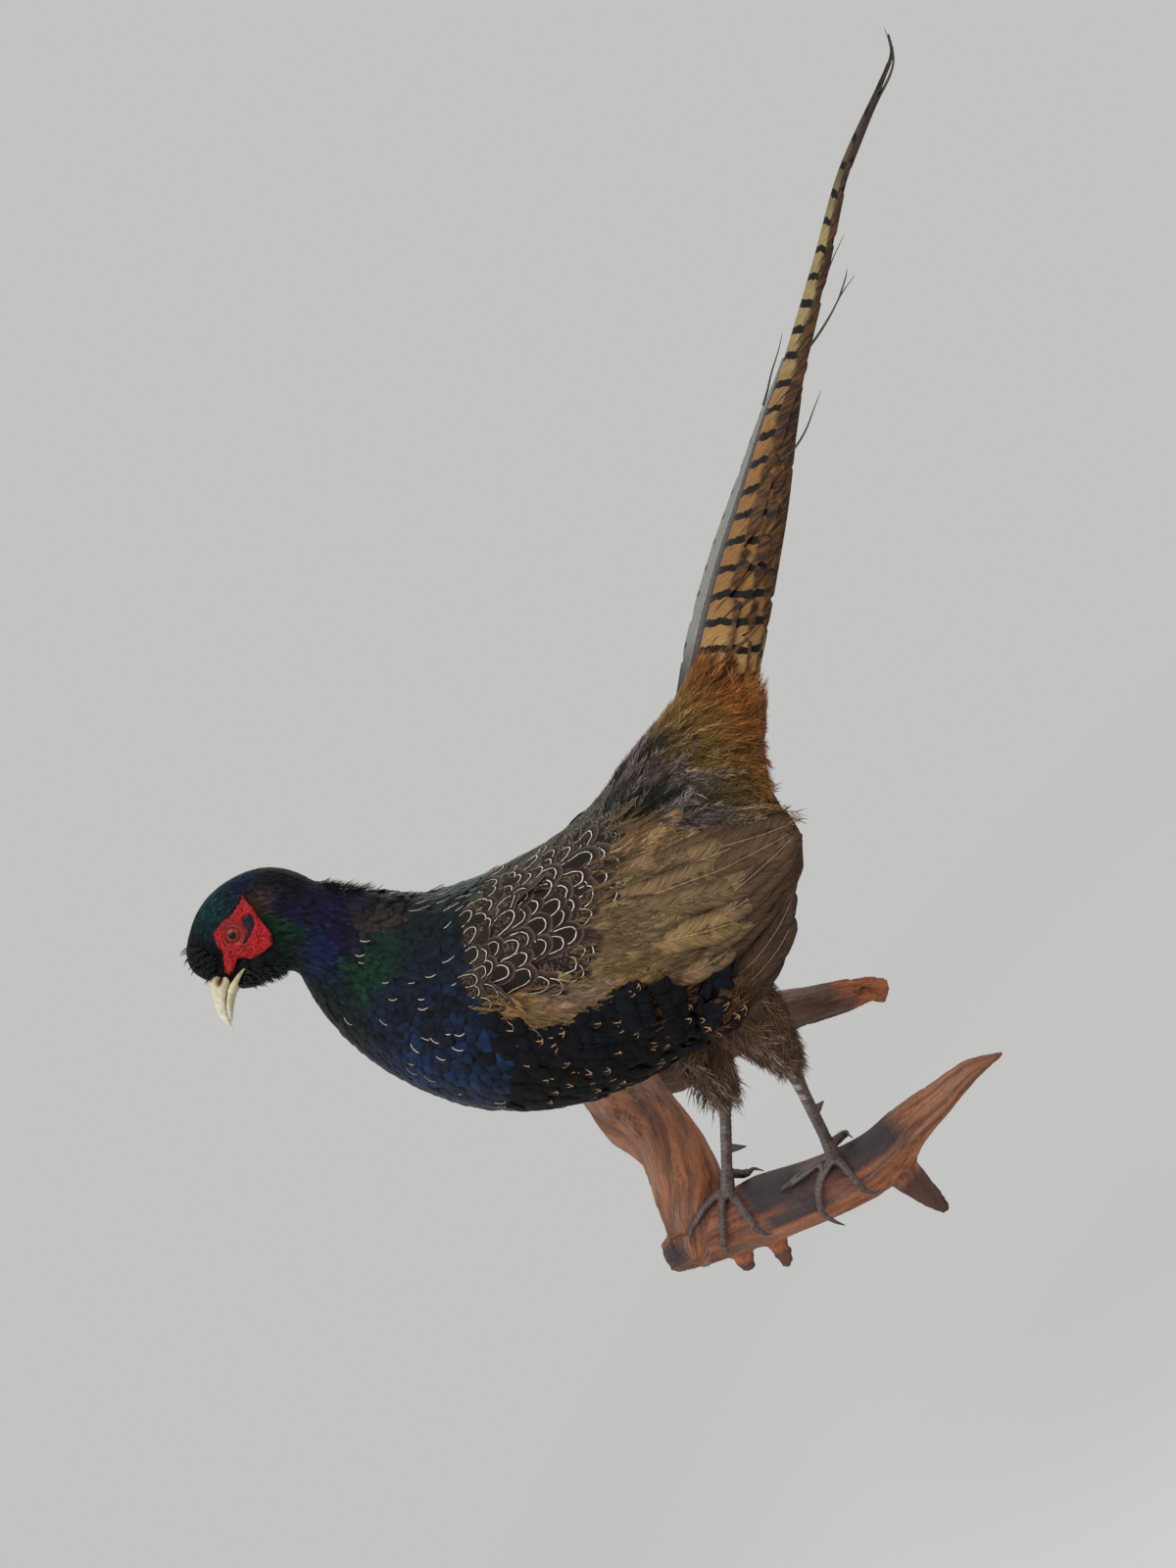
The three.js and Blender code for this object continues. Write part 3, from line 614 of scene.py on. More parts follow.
def groundAt(places, kinds):  # the coat's colour at a place: the skin below wears the same
    x, z = sideView(places)
    local = headLocal(places)
    soft = 0.5 + 0.5 * np.clip(wobble(places, 0.016), -1, 1)
    fine = 0.5 + 0.5 * np.clip(wobble(places + 0.5, 0.005), -1, 1)
    colour = np.zeros((len(places), 3))

    def put(name, value):
        chosen = kinds == tractNames.index(name)
        colour[chosen] = np.broadcast_to(value, colour.shape)[chosen]

    sheen = sheenAt(places)
    forehead = smooth(14, 21, local[:, 0]) + smooth(-4, -12, local[:, 2]) * smooth(-6, 8, local[:, 0])
    put("head", mixed(sheen, palette["black"], np.clip(forehead, 0, 1)))
    put("neck", sheen)
    glow = smooth(0.66, 0.95, fine) * smooth(60, 20, x) * smooth(176, 150, z)
    put("breast", mixed(mixed(sheen, palette["blueBright"], glow * 0.8), palette["bellyBlack"],
        smooth(0.4, 0.15, fine) * 0.5))
    put("shoulder", mixed(sheen, palette["tealDark"], soft * 0.5))
    high = smooth(-12, 2, z - np.interp(x, [44, 60, 86, 116, 134], [158, 180, 186, 168, 150]))
    put("scapular", mixed(mixed(palette["mantle"], palette["brown"], soft * 0.35),
        palette["greenGrey"], high * 0.85))
    put("upperBack", mixed(palette["greenGrey"], palette["mantle"], smooth(0.2, 0.8, soft)))
    low = mixed(palette["purpleGrey"], palette["greenGrey"], smooth(0.35, 0.65, fine))
    put("lowerBack", mixed(low, palette["olive"], smooth(188, 210, x + 10 * (soft - 0.5)) * 0.85))
    rump = mixed(palette["olive"], palette["rust"], smooth(214, 232, x + 0.25 * (150 - z)))
    put("rump", mixed(rump, palette["rustBright"], smooth(0.4, 0.9, fine) * smooth(218, 232, x)))
    wing = mixed(palette["tanGrey"], palette["tan"],
        smooth(0.3, 0.7, soft) * smooth(-140, -20, x * -0.6 - (z - 120)))
    wing = mixed(wing, palette["tanWarm"], smooth(130, 190, x) * 0.7)
    wing = mixed(wing, palette["purpleGrey"], smooth(24, 8, np.hypot(x - 70, (z - 122) * 1.3)) * 0.75 * fine)
    put("covert", mixed(wing, palette["covertDark"], smooth(14, 44, x * 0.62 - (z - 30)) * 0.85))
    put("puff", mixed(palette["puff"], palette["puffBlue"], soft))
    dark = mixed(palette["bellyBlack"], palette["puffBlue"], smooth(0.5, 0.9, soft) * smooth(70, 30, x))
    put("side", mixed(dark, palette["brownDark"], smooth(70, 120, x) * (0.3 + 0.7 * fine)))
    put("vent", mixed(palette["brownDark"], palette["fluff"], fine))
    put("thigh", mixed(palette["brown"], palette["fluff"], soft * 0.8))
    return colour


kinds = tractAt(skinPlaces)
ground = groundAt(skinPlaces, kinds)
setValues(skin, "ground", np.hstack([ground * 0.8, np.full((len(ground), 1), 0.2)]))

skin.data.calc_loop_triangles()
corners = np.zeros(len(skin.data.loop_triangles) * 3, np.int32)
skin.data.loop_triangles.foreach_get("vertices", corners)
corners = skinPlaces[corners.reshape(-1, 3)]
areas = np.linalg.norm(np.cross(corners[:, 1] - corners[:, 0], corners[:, 2] - corners[:, 0]), axis=1) / 2


def sprinkle(count):  # random places on the skin
    chosen = dice.choice(len(areas), count, p=areas / areas.sum())
    a, b = dice.uniform(size=(2, count, 1))
    flip = a + b > 1
    a, b = np.where(flip, 1 - a, a), np.where(flip, 1 - b, b)
    tri = corners[chosen]
    return tri[:, 0] + a * (tri[:, 1] - tri[:, 0]) + b * (tri[:, 2] - tri[:, 0])


def spread(places, gap):  # drops places that stand closer than the gap
    tree = KDTree(len(places))
    for i, place in enumerate(places):
        tree.insert(place, i)
    tree.balance()
    free = np.ones(len(places), bool)
    kept = []
    for i in range(len(places)):
        if free[i]:
            kept.append(i)
            for _, j, _ in tree.find_range(places[i], gap[i]):
                free[j] = False
    return np.array(kept, int)


wattleEdge = [
    (-16.5, 6.5), (-5.5, 8.3), (1.6, 12.7), (8.5, 15), (13.5, 11.7), (17.5, 6.8), (27, 3.2),
    (28, -0.6), (24, -2.2), (17, -2.6), (15, -10), (10.2, -14.2), (4, -18.2), (-1.8, -15.6), (-12, -1),
]


def bare(places):  # the red skin of the face and what the bill covers
    local = headLocal(places)
    return (insideBy(wattleEdge, local[:, 0], local[:, 2]) > -0.3) & (np.abs(local[:, 1]) > 7)


pool = sprinkle(260000)
poolKinds = tractAt(pool)
keep = ~bare(pool)
pool, poolKinds = pool[keep], poolKinds[keep]


def rootsAt(spots, size):
    places, ups, faces, _ = nearest(skinTree, spots)
    return {"place": places, "up": ups, "face": faces, "size": size}


def rootsIn(name, gap, limit=None, grade=None, facing=1.0):
    chosen = np.where(poolKinds == tractNames.index(name))[0]
    if limit is not None:
        chosen = chosen[limit(pool[chosen])]
    if facing < 1:  # none where the skin turns its edge to the way they lie
        ups = nearest(skinTree, pool[chosen])[1]
        chosen = chosen[(ups * lieAt(pool[chosen])).sum(1) < facing]
    gaps = np.full(len(chosen), gap * mm)
    if grade is not None:
        gaps = gaps * grade(pool[chosen])
    kept = spread(pool[chosen], gaps)
    return rootsAt(pool[chosen][kept], gaps[kept] / (gap * mm))


def walk(starts, heads, ups, lengths, rows, cling=0.004, drift=0.0):
    # each feather's middle line, followed over the skin: places, ups, heads for each row
    places, directions = [starts], [heads]
    normals = [ups]
    for before, after in zip(rows[:-1], rows[1:]):
        step = (lengths * (after - before))[:, None]
        side = np.cross(normals[-1], directions[-1])
        guess = places[-1] + directions[-1] * step
        spots, fresh, _, gaps = nearest(skinTree, guess)
        hold = ((gaps < cling) & ((fresh * normals[-1]).sum(1) > 0.8))[:, None]
        place = np.where(hold, spots, guess)
        normal = unit(np.where(hold, fresh, normals[-1]))
        head = unit(directions[-1] + side * drift * (after - before))
        head = unit(head - (head * normal).sum(1, keepdims=True) * normal)
        places.append(place)
        normals.append(normal)
        directions.append(head)
    return np.stack(places, 1), np.stack(normals, 1), np.stack(directions, 1)


def turned(heads, ups, degrees):  # heads turned about ups by a normal spread of degrees
    angle = np.radians(dice.normal(0, 1, len(heads)) * degrees)[:, None]
    return heads * np.cos(angle) + np.cross(ups, heads) * np.sin(angle)


def growVanes(name, roots, plan, colours, marks, gloss):
    # closed, thin, arched feathers over the skin, all in one mesh
    rows = np.array(plan["rows"], float)
    if "within" in plan:  # none that would hang over the edge of the tract's shape
        ends = (
            roots["place"] + lying(lieAt(roots["place"]), roots["up"])
            * (plan["long"] * mm * roots["size"])[:, None]
        )
        inside = insideBy(plan["within"], ends[:, 0] / mm, ends[:, 2] / mm) > -2
        spots, _, _, gaps = nearest(skinTree, ends)
        inside &= (gaps < plan.get("stay", 9) * mm) | (ends[:, 0] > 195 * mm)
        roots = {key: value[inside] for key, value in roots.items()}
        colours = tuple(tone[inside] for tone in colours)
        marks = marks[inside]
    count = len(roots["place"])
    half = np.array(plan["half"], float)
    columns = np.linspace(-1, 1, plan.get("columns", 3))
    lengths = plan["long"] * mm * roots["size"] * dice.uniform(0.88, 1.12, count)
    widths = plan["wide"] * mm * roots["size"] * dice.uniform(0.9, 1.1, count) / 2
    heads = turned(lying(lieAt(roots["place"]), roots["up"]), roots["up"], plan.get("stray", 5))
    drift = dice.normal(0, plan.get("curl", 0.12), (count, 1))
    if "paths" in plan:
        line, normal, head = plan["paths"](rows)
    else:
        line, normal, head = walk(roots["place"], heads, roots["up"], lengths, rows, drift=drift)
    side = np.cross(head, normal)
    fray = (
        1 + dice.uniform(-1, 1, (count, len(rows), len(columns))) * plan.get("fray", 0.0) * np.abs(columns) ** 3
    )
    lift = plan["lift"] * mm * roots["size"] * dice.uniform(0.8, 1.25, count)
    if "ruffle" in plan:  # where some stand away from the rest
        lift = lift * plan["ruffle"](roots["place"])
    rise = -0.3 * mm + lift[:, None] * rows ** plan.get("rise", 1.0)
    rise = rise + roots.get("base", np.zeros(count))[:, None] * smooth(-0.1, 0.4, rows)
    rise = rise - plan.get("droop", 0.0) * mm * smooth(0.7, 1.0, rows) ** 2
    across = columns * half[:, None] * fray * widths[:, None, None]
    arch = plan["arch"] * mm * half[:, None] * (1 - columns**2) * np.minimum(1, rows / 0.3)[:, None]
    top = (
        line[:, :, None]
        + side[:, :, None] * across[..., None]
        + normal[:, :, None] * (rise[:, :, None] + arch)[..., None]
    )
    middle = len(columns) // 2
    below = top[:, :, middle] - normal * (plan.get("thick", 0.25) * mm * np.maximum(half, 0.3))[None, :, None]
    ring = np.concatenate([top, below[:, :, None]], 2)
    sides = ring.shape[2]
    each = len(rows) * sides
    faces = [np.concatenate([np.asarray(f) + each * i for i in range(count)])
        for f in tubeFaces(len(rows), sides)]
    obj = meshOf(name, ring.reshape(-1, 3), faces)
    u = np.concatenate([columns, [0.0]])
    uv = np.stack(np.broadcast_arrays((u * half[:, None] + 1) / 2, rows[:, None]), -1)
    setMap(obj, "vane", np.broadcast_to(uv, (count, *uv.shape)).reshape(-1, 2))
    patch = (
        np.stack(np.broadcast_arrays(u * half[:, None] * 0.5, rows[:, None] - 0.5), -1)
        * plan.get("patch", 0.003)
    )
    roots["uv"] = unwrapped(roots["place"], roots["face"])
    setMap(obj, "OFBake", (roots["uv"][:, None, None] + patch[None]).reshape(-1, 2))
    first, last = colours
    share = np.clip(rows / plan.get("ripen", 0.6), 0, 1)[None, :, None]
    tone = first[:, None] * (1 - share) + last[:, None] * share
    shine = np.broadcast_to(gloss, (count,))[:, None, None] * np.ones((1, len(rows), 1))
    tone = np.concatenate([tone, shine], -1)
    setValues(obj, "ground", np.repeat(tone[:, :, None], sides, 2).reshape(-1, 4))
    marks = np.column_stack([marks, dice.uniform(size=count)])
    setValues(obj, "marks", np.repeat(marks, each, 0))
    softEdges(obj)
    return obj


def growBarbs(name, roots, plan, colours, gloss=0.1):
    # loose feathers: separate barbs that fan out from a middle line
    count, barbs = len(roots["place"]), plan["barbs"]
    rows = np.linspace(0, 1, 5)
    lengths = plan["long"] * mm * roots["size"] * dice.uniform(0.8, 1.2, count)
    heads = turned(lying(lieAt(roots["place"]), roots["up"]), roots["up"], plan.get("stray", 12))
    line, normal, head = walk(roots["place"], heads, roots["up"], lengths, rows)
    if "stay" in plan:
        gaps = nearest(skinTree, line[:, -1])[3]
        held = (gaps < plan["stay"] * mm) | (line[:, -1, 2] > plan.get("free", 1.0))
        line, normal, head, lengths = line[held], normal[held], head[held], lengths[held]
        roots = {key: value[held] for key, value in roots.items()}
        colours = tuple(tone[held] for tone in colours)
        count = len(lengths)
    start = np.linspace(plan.get("first", 0.05), 0.95, barbs) + dice.uniform(-0.03, 0.03, (count, barbs))
    start = np.clip(start, 0, 1)
    low = np.minimum((start * 4).astype(int), 3)
    share = (start * 4 - low)[..., None]
    pick = np.arange(count)[:, None]
    base = line[pick, low] * (1 - share) + line[pick, low + 1] * share
    up = unit(normal[pick, low] * (1 - share) + normal[pick, low + 1] * share)
    ahead = unit(head[pick, low] * (1 - share) + head[pick, low + 1] * share)
    side = np.cross(ahead, up) * np.where(np.arange(barbs) % 2, 1, -1)[:, None]
    angle = np.radians(plan["spread"]) * (1 - 0.55 * start) * dice.uniform(0.5, 1.35, (count, barbs))
    reach = lengths[:, None] * plan["reach"] * (1 - 0.45 * start) * dice.uniform(0.6, 1.3, (count, barbs))
    out = ahead * np.cos(angle)[..., None] + side * np.sin(angle)[..., None]
    t = np.array([0, 0.5, 1.0])[:, None]
    swing = 0.35  # how far each barb bends over to the tip
    rise = (
        plan.get("base", 0.0) * mm + (0.1 + plan["lift"] * (start[..., None] * 0.7 + 0.5 * t[:, 0])) * mm
        * dice.uniform(0.5, 1.4, (count, barbs, 1))
    )
    path = base[:, :, None] + out[:, :, None] * reach[..., None, None] * t * (1 - swing * t)
    path = path + ahead[:, :, None] * reach[..., None, None] * swing * t * t + up[:, :, None] * rise[..., None]
    wide = plan["wide"] * mm * np.array([1.0, 0.8, 0.0])[:, None] * roots["size"][:, None, None, None]
    edge = np.cross(out, up)[:, :, None]
    ring = np.stack([path - edge * wide, path + up[:, :, None] * wide * 0.7, path + edge * wide], 3)
    points = np.concatenate([ring[:, :, :2].reshape(count, barbs, 6, 3), path[:, :, 2:3]], 2).reshape(-1, 3)
    blades = count * barbs
    offset = (np.arange(blades) * 7)[:, None, None]
    walls = (np.array([[0, 1, 4, 3], [1, 2, 5, 4], [2, 0, 3, 5]])[None] + offset).reshape(-1, 4)
    tips = (np.array([[3, 4, 6], [4, 5, 6], [5, 3, 6], [2, 1, 0]])[None] + offset).reshape(-1, 3)
    obj = meshOf(name, points, [walls, tips])
    along = np.concatenate([np.repeat([0, 0.5], 3), [1.0]])
    v = start[..., None] * 0.6 + along * 0.4
    u = np.where(np.arange(barbs) % 2, 1, -1)[:, None] * along * 0.5 + 0.5
    uv = np.stack(np.broadcast_arrays(u[None], v), -1)
    setMap(obj, "vane", uv.reshape(-1, 2))
    roots["uv"] = unwrapped(roots["place"], roots["face"])
    setMap(obj, "OFBake", (roots["uv"][:, None, None] + (uv - 0.5) * 0.003).reshape(-1, 2))
    first, last = colours
    share = smooth(0.15, 0.85, v)[..., None]
    tone = first[:, None, None] * (1 - share) + last[:, None, None] * share
    vary = plan.get("vary", 0.25)
    tone = tone * dice.uniform(1 - vary, 1 + vary, (count, barbs, 1, 1))
    setValues(obj, "ground", np.concatenate([tone, np.full((*tone.shape[:3], 1), gloss)], -1).reshape(-1, 4))
    shadeSmooth(obj)
    return obj


def plumeFinish(name, barbs=0.35, rim=0.0, shaft=None, streaks=0.0, fringe=None, bend=0.6,
        locks=(10, 0.3, 0.4), **constants):
    made = Finish(name, **{"shine": 0.25, **constants})
    uv = made.uv("vane")
    u, v = made.part(uv, 0), made.part(uv, 1)
    across = abs(u * 2 - 1)
    past = ((v - bend) / (1 - bend)).most(0.0)
    edge = 1 - (across * across + past * past) ** 0.5  # 0 at the rim, 1 on the shaft
    ground = made.attribute("ground")
    gloss = made.attribute("ground", "Alpha")
    marks = made.attribute("marks")
    chance = made.attribute("marks", "Alpha")
    grain = made.vector((v - across * 0.22) * 34, (u - 0.5).maths("SIGN", u - 0.5) * 3, chance * 47)
    barb = made.noise(grain, 1.6, 3, 0.7)
    patchy = made.noise(made.vector(u * 2, v * 3, chance * 31), 1.3, 2, 0.6)
    colour = made.shaded(ground, barb, (0.25, 1 - barbs), (0.75, 1 + barbs))
    colour = made.shaded(colour, patchy, (0.3, 0.84), (0.7, 1.16))
    lock = made.vector((v - across * locks[2]) * locks[0], (u - 0.5).maths("SIGN", u - 0.5) * 5
        + across * 0.7, chance * 29)
    lock = made.noise(lock, 1.6, 4, 0.72)
    light = 1 + locks[1]
    colour = made.shaded(colour, lock, (0.34, 1 - locks[1] * 1.7), (0.5, 1.0), (0.68, light))
    if fringe:
        colour = made.blend(edge.between(fringe["from"], fringe["to"]) * -1 + 1, colour, fringe["colour"])
    if streaks:  # dark, ragged blotches beside the shaft
        blotch = made.noise(made.vector(v * 9, across * 1.5, chance * 90), 1.4, 3, 0.7)
        beside = (0.6 - across - abs(v - 0.66) * 1.6).between(0.0, 0.25)
        dark = (blotch * beside).between(0.44, 0.56) * made.part(marks, 1)
        colour = made.blend(dark * streaks, colour, rgb(26, 18, 15))
    # rim darkens each feather's edge: on the breast's feathers it is their own dark margin, on the wing's long
    # feathers it is painted shade between the overlapping feathers
    if rim:
        colour = made.blend((1 - edge.between(0.02, 0.4)) * rim, colour, rgb(7, 8, 11))
    if shaft:
        wander = (made.noise(made.vector(v * 2.5, chance * 40, 0.0), 1.0, 1, 0.5) - 0.5) * 0.1
        line = (
            (0.03 + shaft.get("width", 0.02) - abs(u * 2 - 1 + wander)).between(0.0, 0.04)
            * (v - 0.1).between(0.0, 0.2)
        )
        stop, rare = shaft.get("stop", 0.0), shaft.get("rare", 0.1)
        tail = (1 - v).between(stop, stop + 0.12)
        seen = line * tail * shaft["strength"] * chance.between(rare, rare + 0.5)
        colour = made.blend(seen, colour, shaft["colour"])
    made.base = colour
    made.u, made.v, made.marks, made.chance, made.edge = u, v, marks, chance, edge
    made.feed("Metallic", gloss)
    made.bump(barb * 0.5 + lock, 0.5, 0.0008)
    return made


def finished(made):
    made.feed("Base Color", made.base)
    return made


def looseFinish(name, **constants):
    made = Finish(name, **{"shine": 0.2, **constants})
    streak = made.noise(made.stretched(made.uv("vane"), (9, 2, 1)), 3.0, 2, 0.6)
    made.feed("Base Color", made.shaded(made.attribute("ground"), streak, (0.3, 0.7), (0.7, 1.25)))
    return made


def scallops(made, cream, inset=(0.36, 0.47), centre=None):
    # a pale line that follows the feather's edge, black either side of it
    wavy = made.noise(made.vector(made.u * 3, made.v * 3, made.chance * 17), 1.4, 2, 0.5) * 0.2 - 0.1
    q = made.edge + wavy
    low, high = inset
    strength = made.part(made.marks, 0)
    black = (q - low + 0.16).between(0.0, 0.1) * strength
    colour = made.blend(black * 0.9, made.base, centre or rgb(24, 16, 14))
    mottle = made.noise(made.vector(made.v * 12, made.u * 4, made.chance * 60), 1.5, 3, 0.7).between(0.5, 0.62)
    inner = (q - high - 0.08).between(0.0, 0.1) * mottle * made.chance.between(0.3, 0.45)
    colour = made.blend(inner * strength * 0.75, colour, rgb(110, 88, 74))
    line = (q - low).between(0.0, 0.04) * (high - q).between(0.0, 0.04)
    broken = made.noise(made.vector(made.v * 5, made.u * 4, made.chance * 23), 1.0, 2, 0.6).between(0.3, 0.45)
    made.base = made.blend(line * strength * broken, colour, cream)
    return made


def dashes(made, buff):  # a thin pale hook along one side of some feathers
    side = made.u - 0.5 - (made.chance - 0.5) * 0.3 + (made.v - 0.62) * (made.v - 0.62) * 1.6
    line = (
        (0.03 - abs(side)).between(0.0, 0.016) * (made.v - 0.3).between(0.0, 0.08)
        * (0.97 - made.v).between(0.0, 0.04)
    )
    made.base = made.blend(line * made.part(made.marks, 1), made.base, buff)
    return made


def vees(made, buff):  # a pale forked mark at the tip of some feathers
    wavy = made.noise(made.vector(made.v * 6, made.u * 4, made.chance * 71), 1.2, 2, 0.6) * 0.3 - 0.15
    q = made.edge + wavy
    part = made.u * 2 - 1 + (made.chance - 0.5) * 1.2  # mostly one arm of the fork
    line = (
        (0.05 - abs(q - 0.24)).between(0.0, 0.03) * (0.62 - abs(part)).between(0.0, 0.2)
        * (made.v - 0.66).between(0.0, 0.1)
    )
    shaft = (
        (0.035 - abs(made.u - 0.5)).between(0.0, 0.02) * (made.v - 0.7).between(0.0, 0.1)
        * (0.94 - made.v).between(0.0, 0.03)
    )
    made.base = made.blend(line.most(shaft) * made.part(made.marks, 2), made.base, buff)
    return made


print("coat")
rounded = {"rows": [0, 0.15, 0.4, 0.62, 0.8, 0.92, 0.98, 1],
    "half": [0.3, 0.62, 0.92, 1, 0.9, 0.64, 0.36, 0.08]}
small = {"rows": [0, 0.35, 0.75, 0.93, 1], "half": [0.5, 1, 0.85, 0.45, 0.1]}


def coatColours(roots, kind, root=0.55, spreadBy=0.1):
    colour = groundAt(roots["place"], np.full(len(roots["place"]), tractNames.index(kind)))
    colour = np.clip(colour * dice.normal(1, spreadBy, (len(colour), 1))
        * dice.normal(1, 0.04, colour.shape), 0, 1)
    return colour * root, colour


def chances(roots, *shares):
    count = len(roots["place"])
    return np.stack([(dice.uniform(size=count) < s).astype(float) for s in shares], -1)


def crownLimit(places):
    local = headLocal(places)
    return (local[:, 0] < 22) | (np.abs(local[:, 1]) > 9) | (local[:, 2] > 8)


# head and neck
headPlan = {**small, "long": 6.4, "wide": 1.9, "lift": 0.5, "arch": 0.25, "stray": 9, "ripen": 0.8}
roots = rootsIn("head", 1.35, crownLimit)
coat = growVanes("coat_head", roots, headPlan, coatColours(roots, "head", 0.4, 0.5),
    chances(roots, 0, 0, 0), 0.25)
wear(coat, finished(plumeFinish("headPlumes", barbs=0.6, Roughness=0.5, shine=0.12)), "crown_feathers")


def nape(places):
    gap = np.hypot(places[:, 0] / mm - 46, places[:, 2] / mm - 232)
    ridge = smooth(20, 8, offMiddle(places)) * smooth(-10, 15, places[:, 0] / mm)
    lone = (dice.uniform(size=len(places)) < 0.16) * ridge
    return (
        1 + 2.8 * smooth(20, 5, gap) * dice.uniform(0.2, 1, len(places))
        + 2.4 * lone * dice.uniform(size=len(places))
    )


neckPlan = {**small, "long": 8.5, "wide": 2.9, "lift": 0.65, "arch": 0.3, "stray": 9, "ruffle": nape}
roots = rootsIn("neck", 1.85, grade=lambda p: np.interp(p[:, 2] / mm, [195, 255], [1.4, 0.85]))
coat = growVanes("coat_neck", roots, neckPlan, coatColours(roots, "neck", 0.4, 0.46),
    chances(roots, 0, 0, 0), 0.3)
wear(coat, finished(plumeFinish("neckPlumes", barbs=0.65, Roughness=0.48, shine=0.12)), "neck_feathers")

napePlan = {"long": 12, "barbs": 12, "spread": 30, "reach": 0.5, "lift": 4.6, "wide": 0.3,
    "stray": 16, "vary": 0.4}


def onNape(places):
    return (offMiddle(places) < 13) & (places[:, 0] / mm > 12) & (places[:, 2] / mm > 205)


roots = rootsIn("neck", 3.0, onNape)
tone = np.tile(rgb(26, 21, 20), (len(roots["place"]), 1))
coat = growBarbs("coat_nape", roots, napePlan, (tone * 0.6, tone), 0.0)
wear(coat, looseFinish("napePlumes", Roughness=0.7, shine=0.1), "neck_feathers")

# breast and shoulders
breastPlan = {**rounded, "long": 14, "wide": 9.4, "lift": 1.4, "arch": 1.0, "stray": 7,
    "columns": 5, "droop": 0.3}
roots = rootsIn("breast", 4.1, grade=lambda p: np.interp(p[:, 2] / mm, [60, 110, 200], [1.15, 1.05, 0.72]))
breastMarks = chances(roots, 0, 0.07, 0) * (roots["place"][:, 2:] / mm < 224)
coat = growVanes("coat_breast", roots, breastPlan, coatColours(roots, "breast", 0.3, 0.4), breastMarks, 0.45)
breastFinish = dashes(plumeFinish("breastPlumes", barbs=0.65, rim=0.95, locks=(12, 0.4, 0.4), Roughness=0.44,
    shine=0.16), rgb(216, 202, 180))
wear(coat, finished(breastFinish), "breast_feathers")

shoulderPlan = {**rounded, "long": 14, "wide": 6.6, "lift": 1.1, "arch": 0.7, "stray": 8,
    "columns": 5, "ruffle": nape}
roots = rootsIn("shoulder", 3.5, grade=lambda p: np.interp(p[:, 0] / mm, [10, 80], [0.75, 1.15]))
late = 0.06 + 0.49 * smooth(40, 84, roots["place"][:, 0] / mm)
picked = (dice.uniform(size=len(late)) < late).astype(float)
shoulderMarks = np.stack([picked * 0, picked, picked * 0], -1)
coat = growVanes("coat_shoulder", roots, shoulderPlan, coatColours(roots, "shoulder", 0.5, 0.2),
    shoulderMarks, 0.35)
shoulderFinish = dashes(plumeFinish("shoulderPlumes", barbs=0.6, rim=0.7, Roughness=0.48, shine=0.14),
    rgb(226, 204, 172))
wear(coat, finished(shoulderFinish), "body_feathers")

# bristles over the base of the bill and under the chin
def growBristles(name, count, inZone, way, long, thick):
    chosen = [p for p in sprinkle(60000) if inZone(*headLocal(p[None])[0])][:count]
    spots, ups, faces, _ = nearest(skinTree, chosen)
    parts = []
    for spot, up in zip(spots, ups):
        aim = way[0] * headFrame["forward"] + way[1] * headFrame["up"] + up * way[2]
        aim = aim + dice.normal(size=3) * 0.17
        aim = aim / np.linalg.norm(aim)
        reach = long * dice.uniform(0.55, 1.15)
        bend = (headFrame["forward"] * 0.3 - headFrame["up"] * 0.3) * reach * dice.uniform(0.1, 0.9)
        line = [spot / mm, spot / mm + aim * reach * 0.5, spot / mm + aim * reach + bend * 0.5]
        parts.append(strand(line, thick, 4, 6, 0.05))
    obj = joinedParts(name, parts)
    uv = unwrapped(spots, faces)
    along = np.repeat(np.linspace(0, 1, 6), 4)
    patch = np.stack([np.tile([0.0, 0.5, 1.0, 0.5], 6), along], -1) * 0.003
    setMap(obj, "OFBake", (uv[:, None] + patch[None]).reshape(-1, 2))
    shadeSmooth(obj)
    return obj


tuftShape = [(19, 25), (24, 21.5), (29, 18), (31, 13), (30, 7), (21, 8.5), (17.5, 14), (18, 20)]


def inTuft(f, l, u):
    return insideBy(tuftShape, np.array([f]), np.array([u]))[0] > 0 and abs(l) < 12


tuft = growBristles("bill_tuft", 900, inTuft, (0.55, 0.36, 0.62), 7.6, 0.55)
chin = growBristles("chin_tuft", 300, lambda f, l, u: 8 < f < 31 and -26 < u < -7 and abs(l) < 11,
    (-0.25, -0.75, 0.4), 4.2, 0.36)
bristleFinish = Finish("bristles", Roughness=0.55, shine=0.3)
tint = bristleFinish.noise(bristleFinish.place(), 500, 2, 0.6)
bristleFinish.feed("Base Color", bristleFinish.ramp(tint, (0.3, rgb(7, 8, 8)), (0.7, rgb(20, 21, 22))))
wear(tuft, bristleFinish, "crown_feathers")
wear(chin, bristleFinish, "crown_feathers")

# scapulars and back
scapularPlan = {**rounded, "long": 25, "wide": 13.6, "lift": 2.0, "arch": 1.2, "stray": 9, "columns": 7,
    "patch": 0.006, "fray": 0.12}
roots = rootsIn("scapular", 7.0, grade=lambda p: np.interp(p[:, 0] / mm, [44, 70, 130], [0.72, 1.0, 1.08]))
coat = growVanes("coat_scapular", roots, scapularPlan, coatColours(roots, "scapular", 0.7, 0.16),
    chances(roots, 0.9, 0, 0), 0.05)
fringe = {"colour": rgb(84, 68, 60), "from": 0.02, "to": 0.2}
scapularFinish = plumeFinish("scapularPlumes", barbs=0.5, fringe=fringe, locks=(14, 0.2, 0.3),
    Roughness=0.7, shine=0.16)
wear(coat, finished(scallops(scapularFinish, rgb(224, 212, 192), (0.375, 0.46))), "body_feathers")

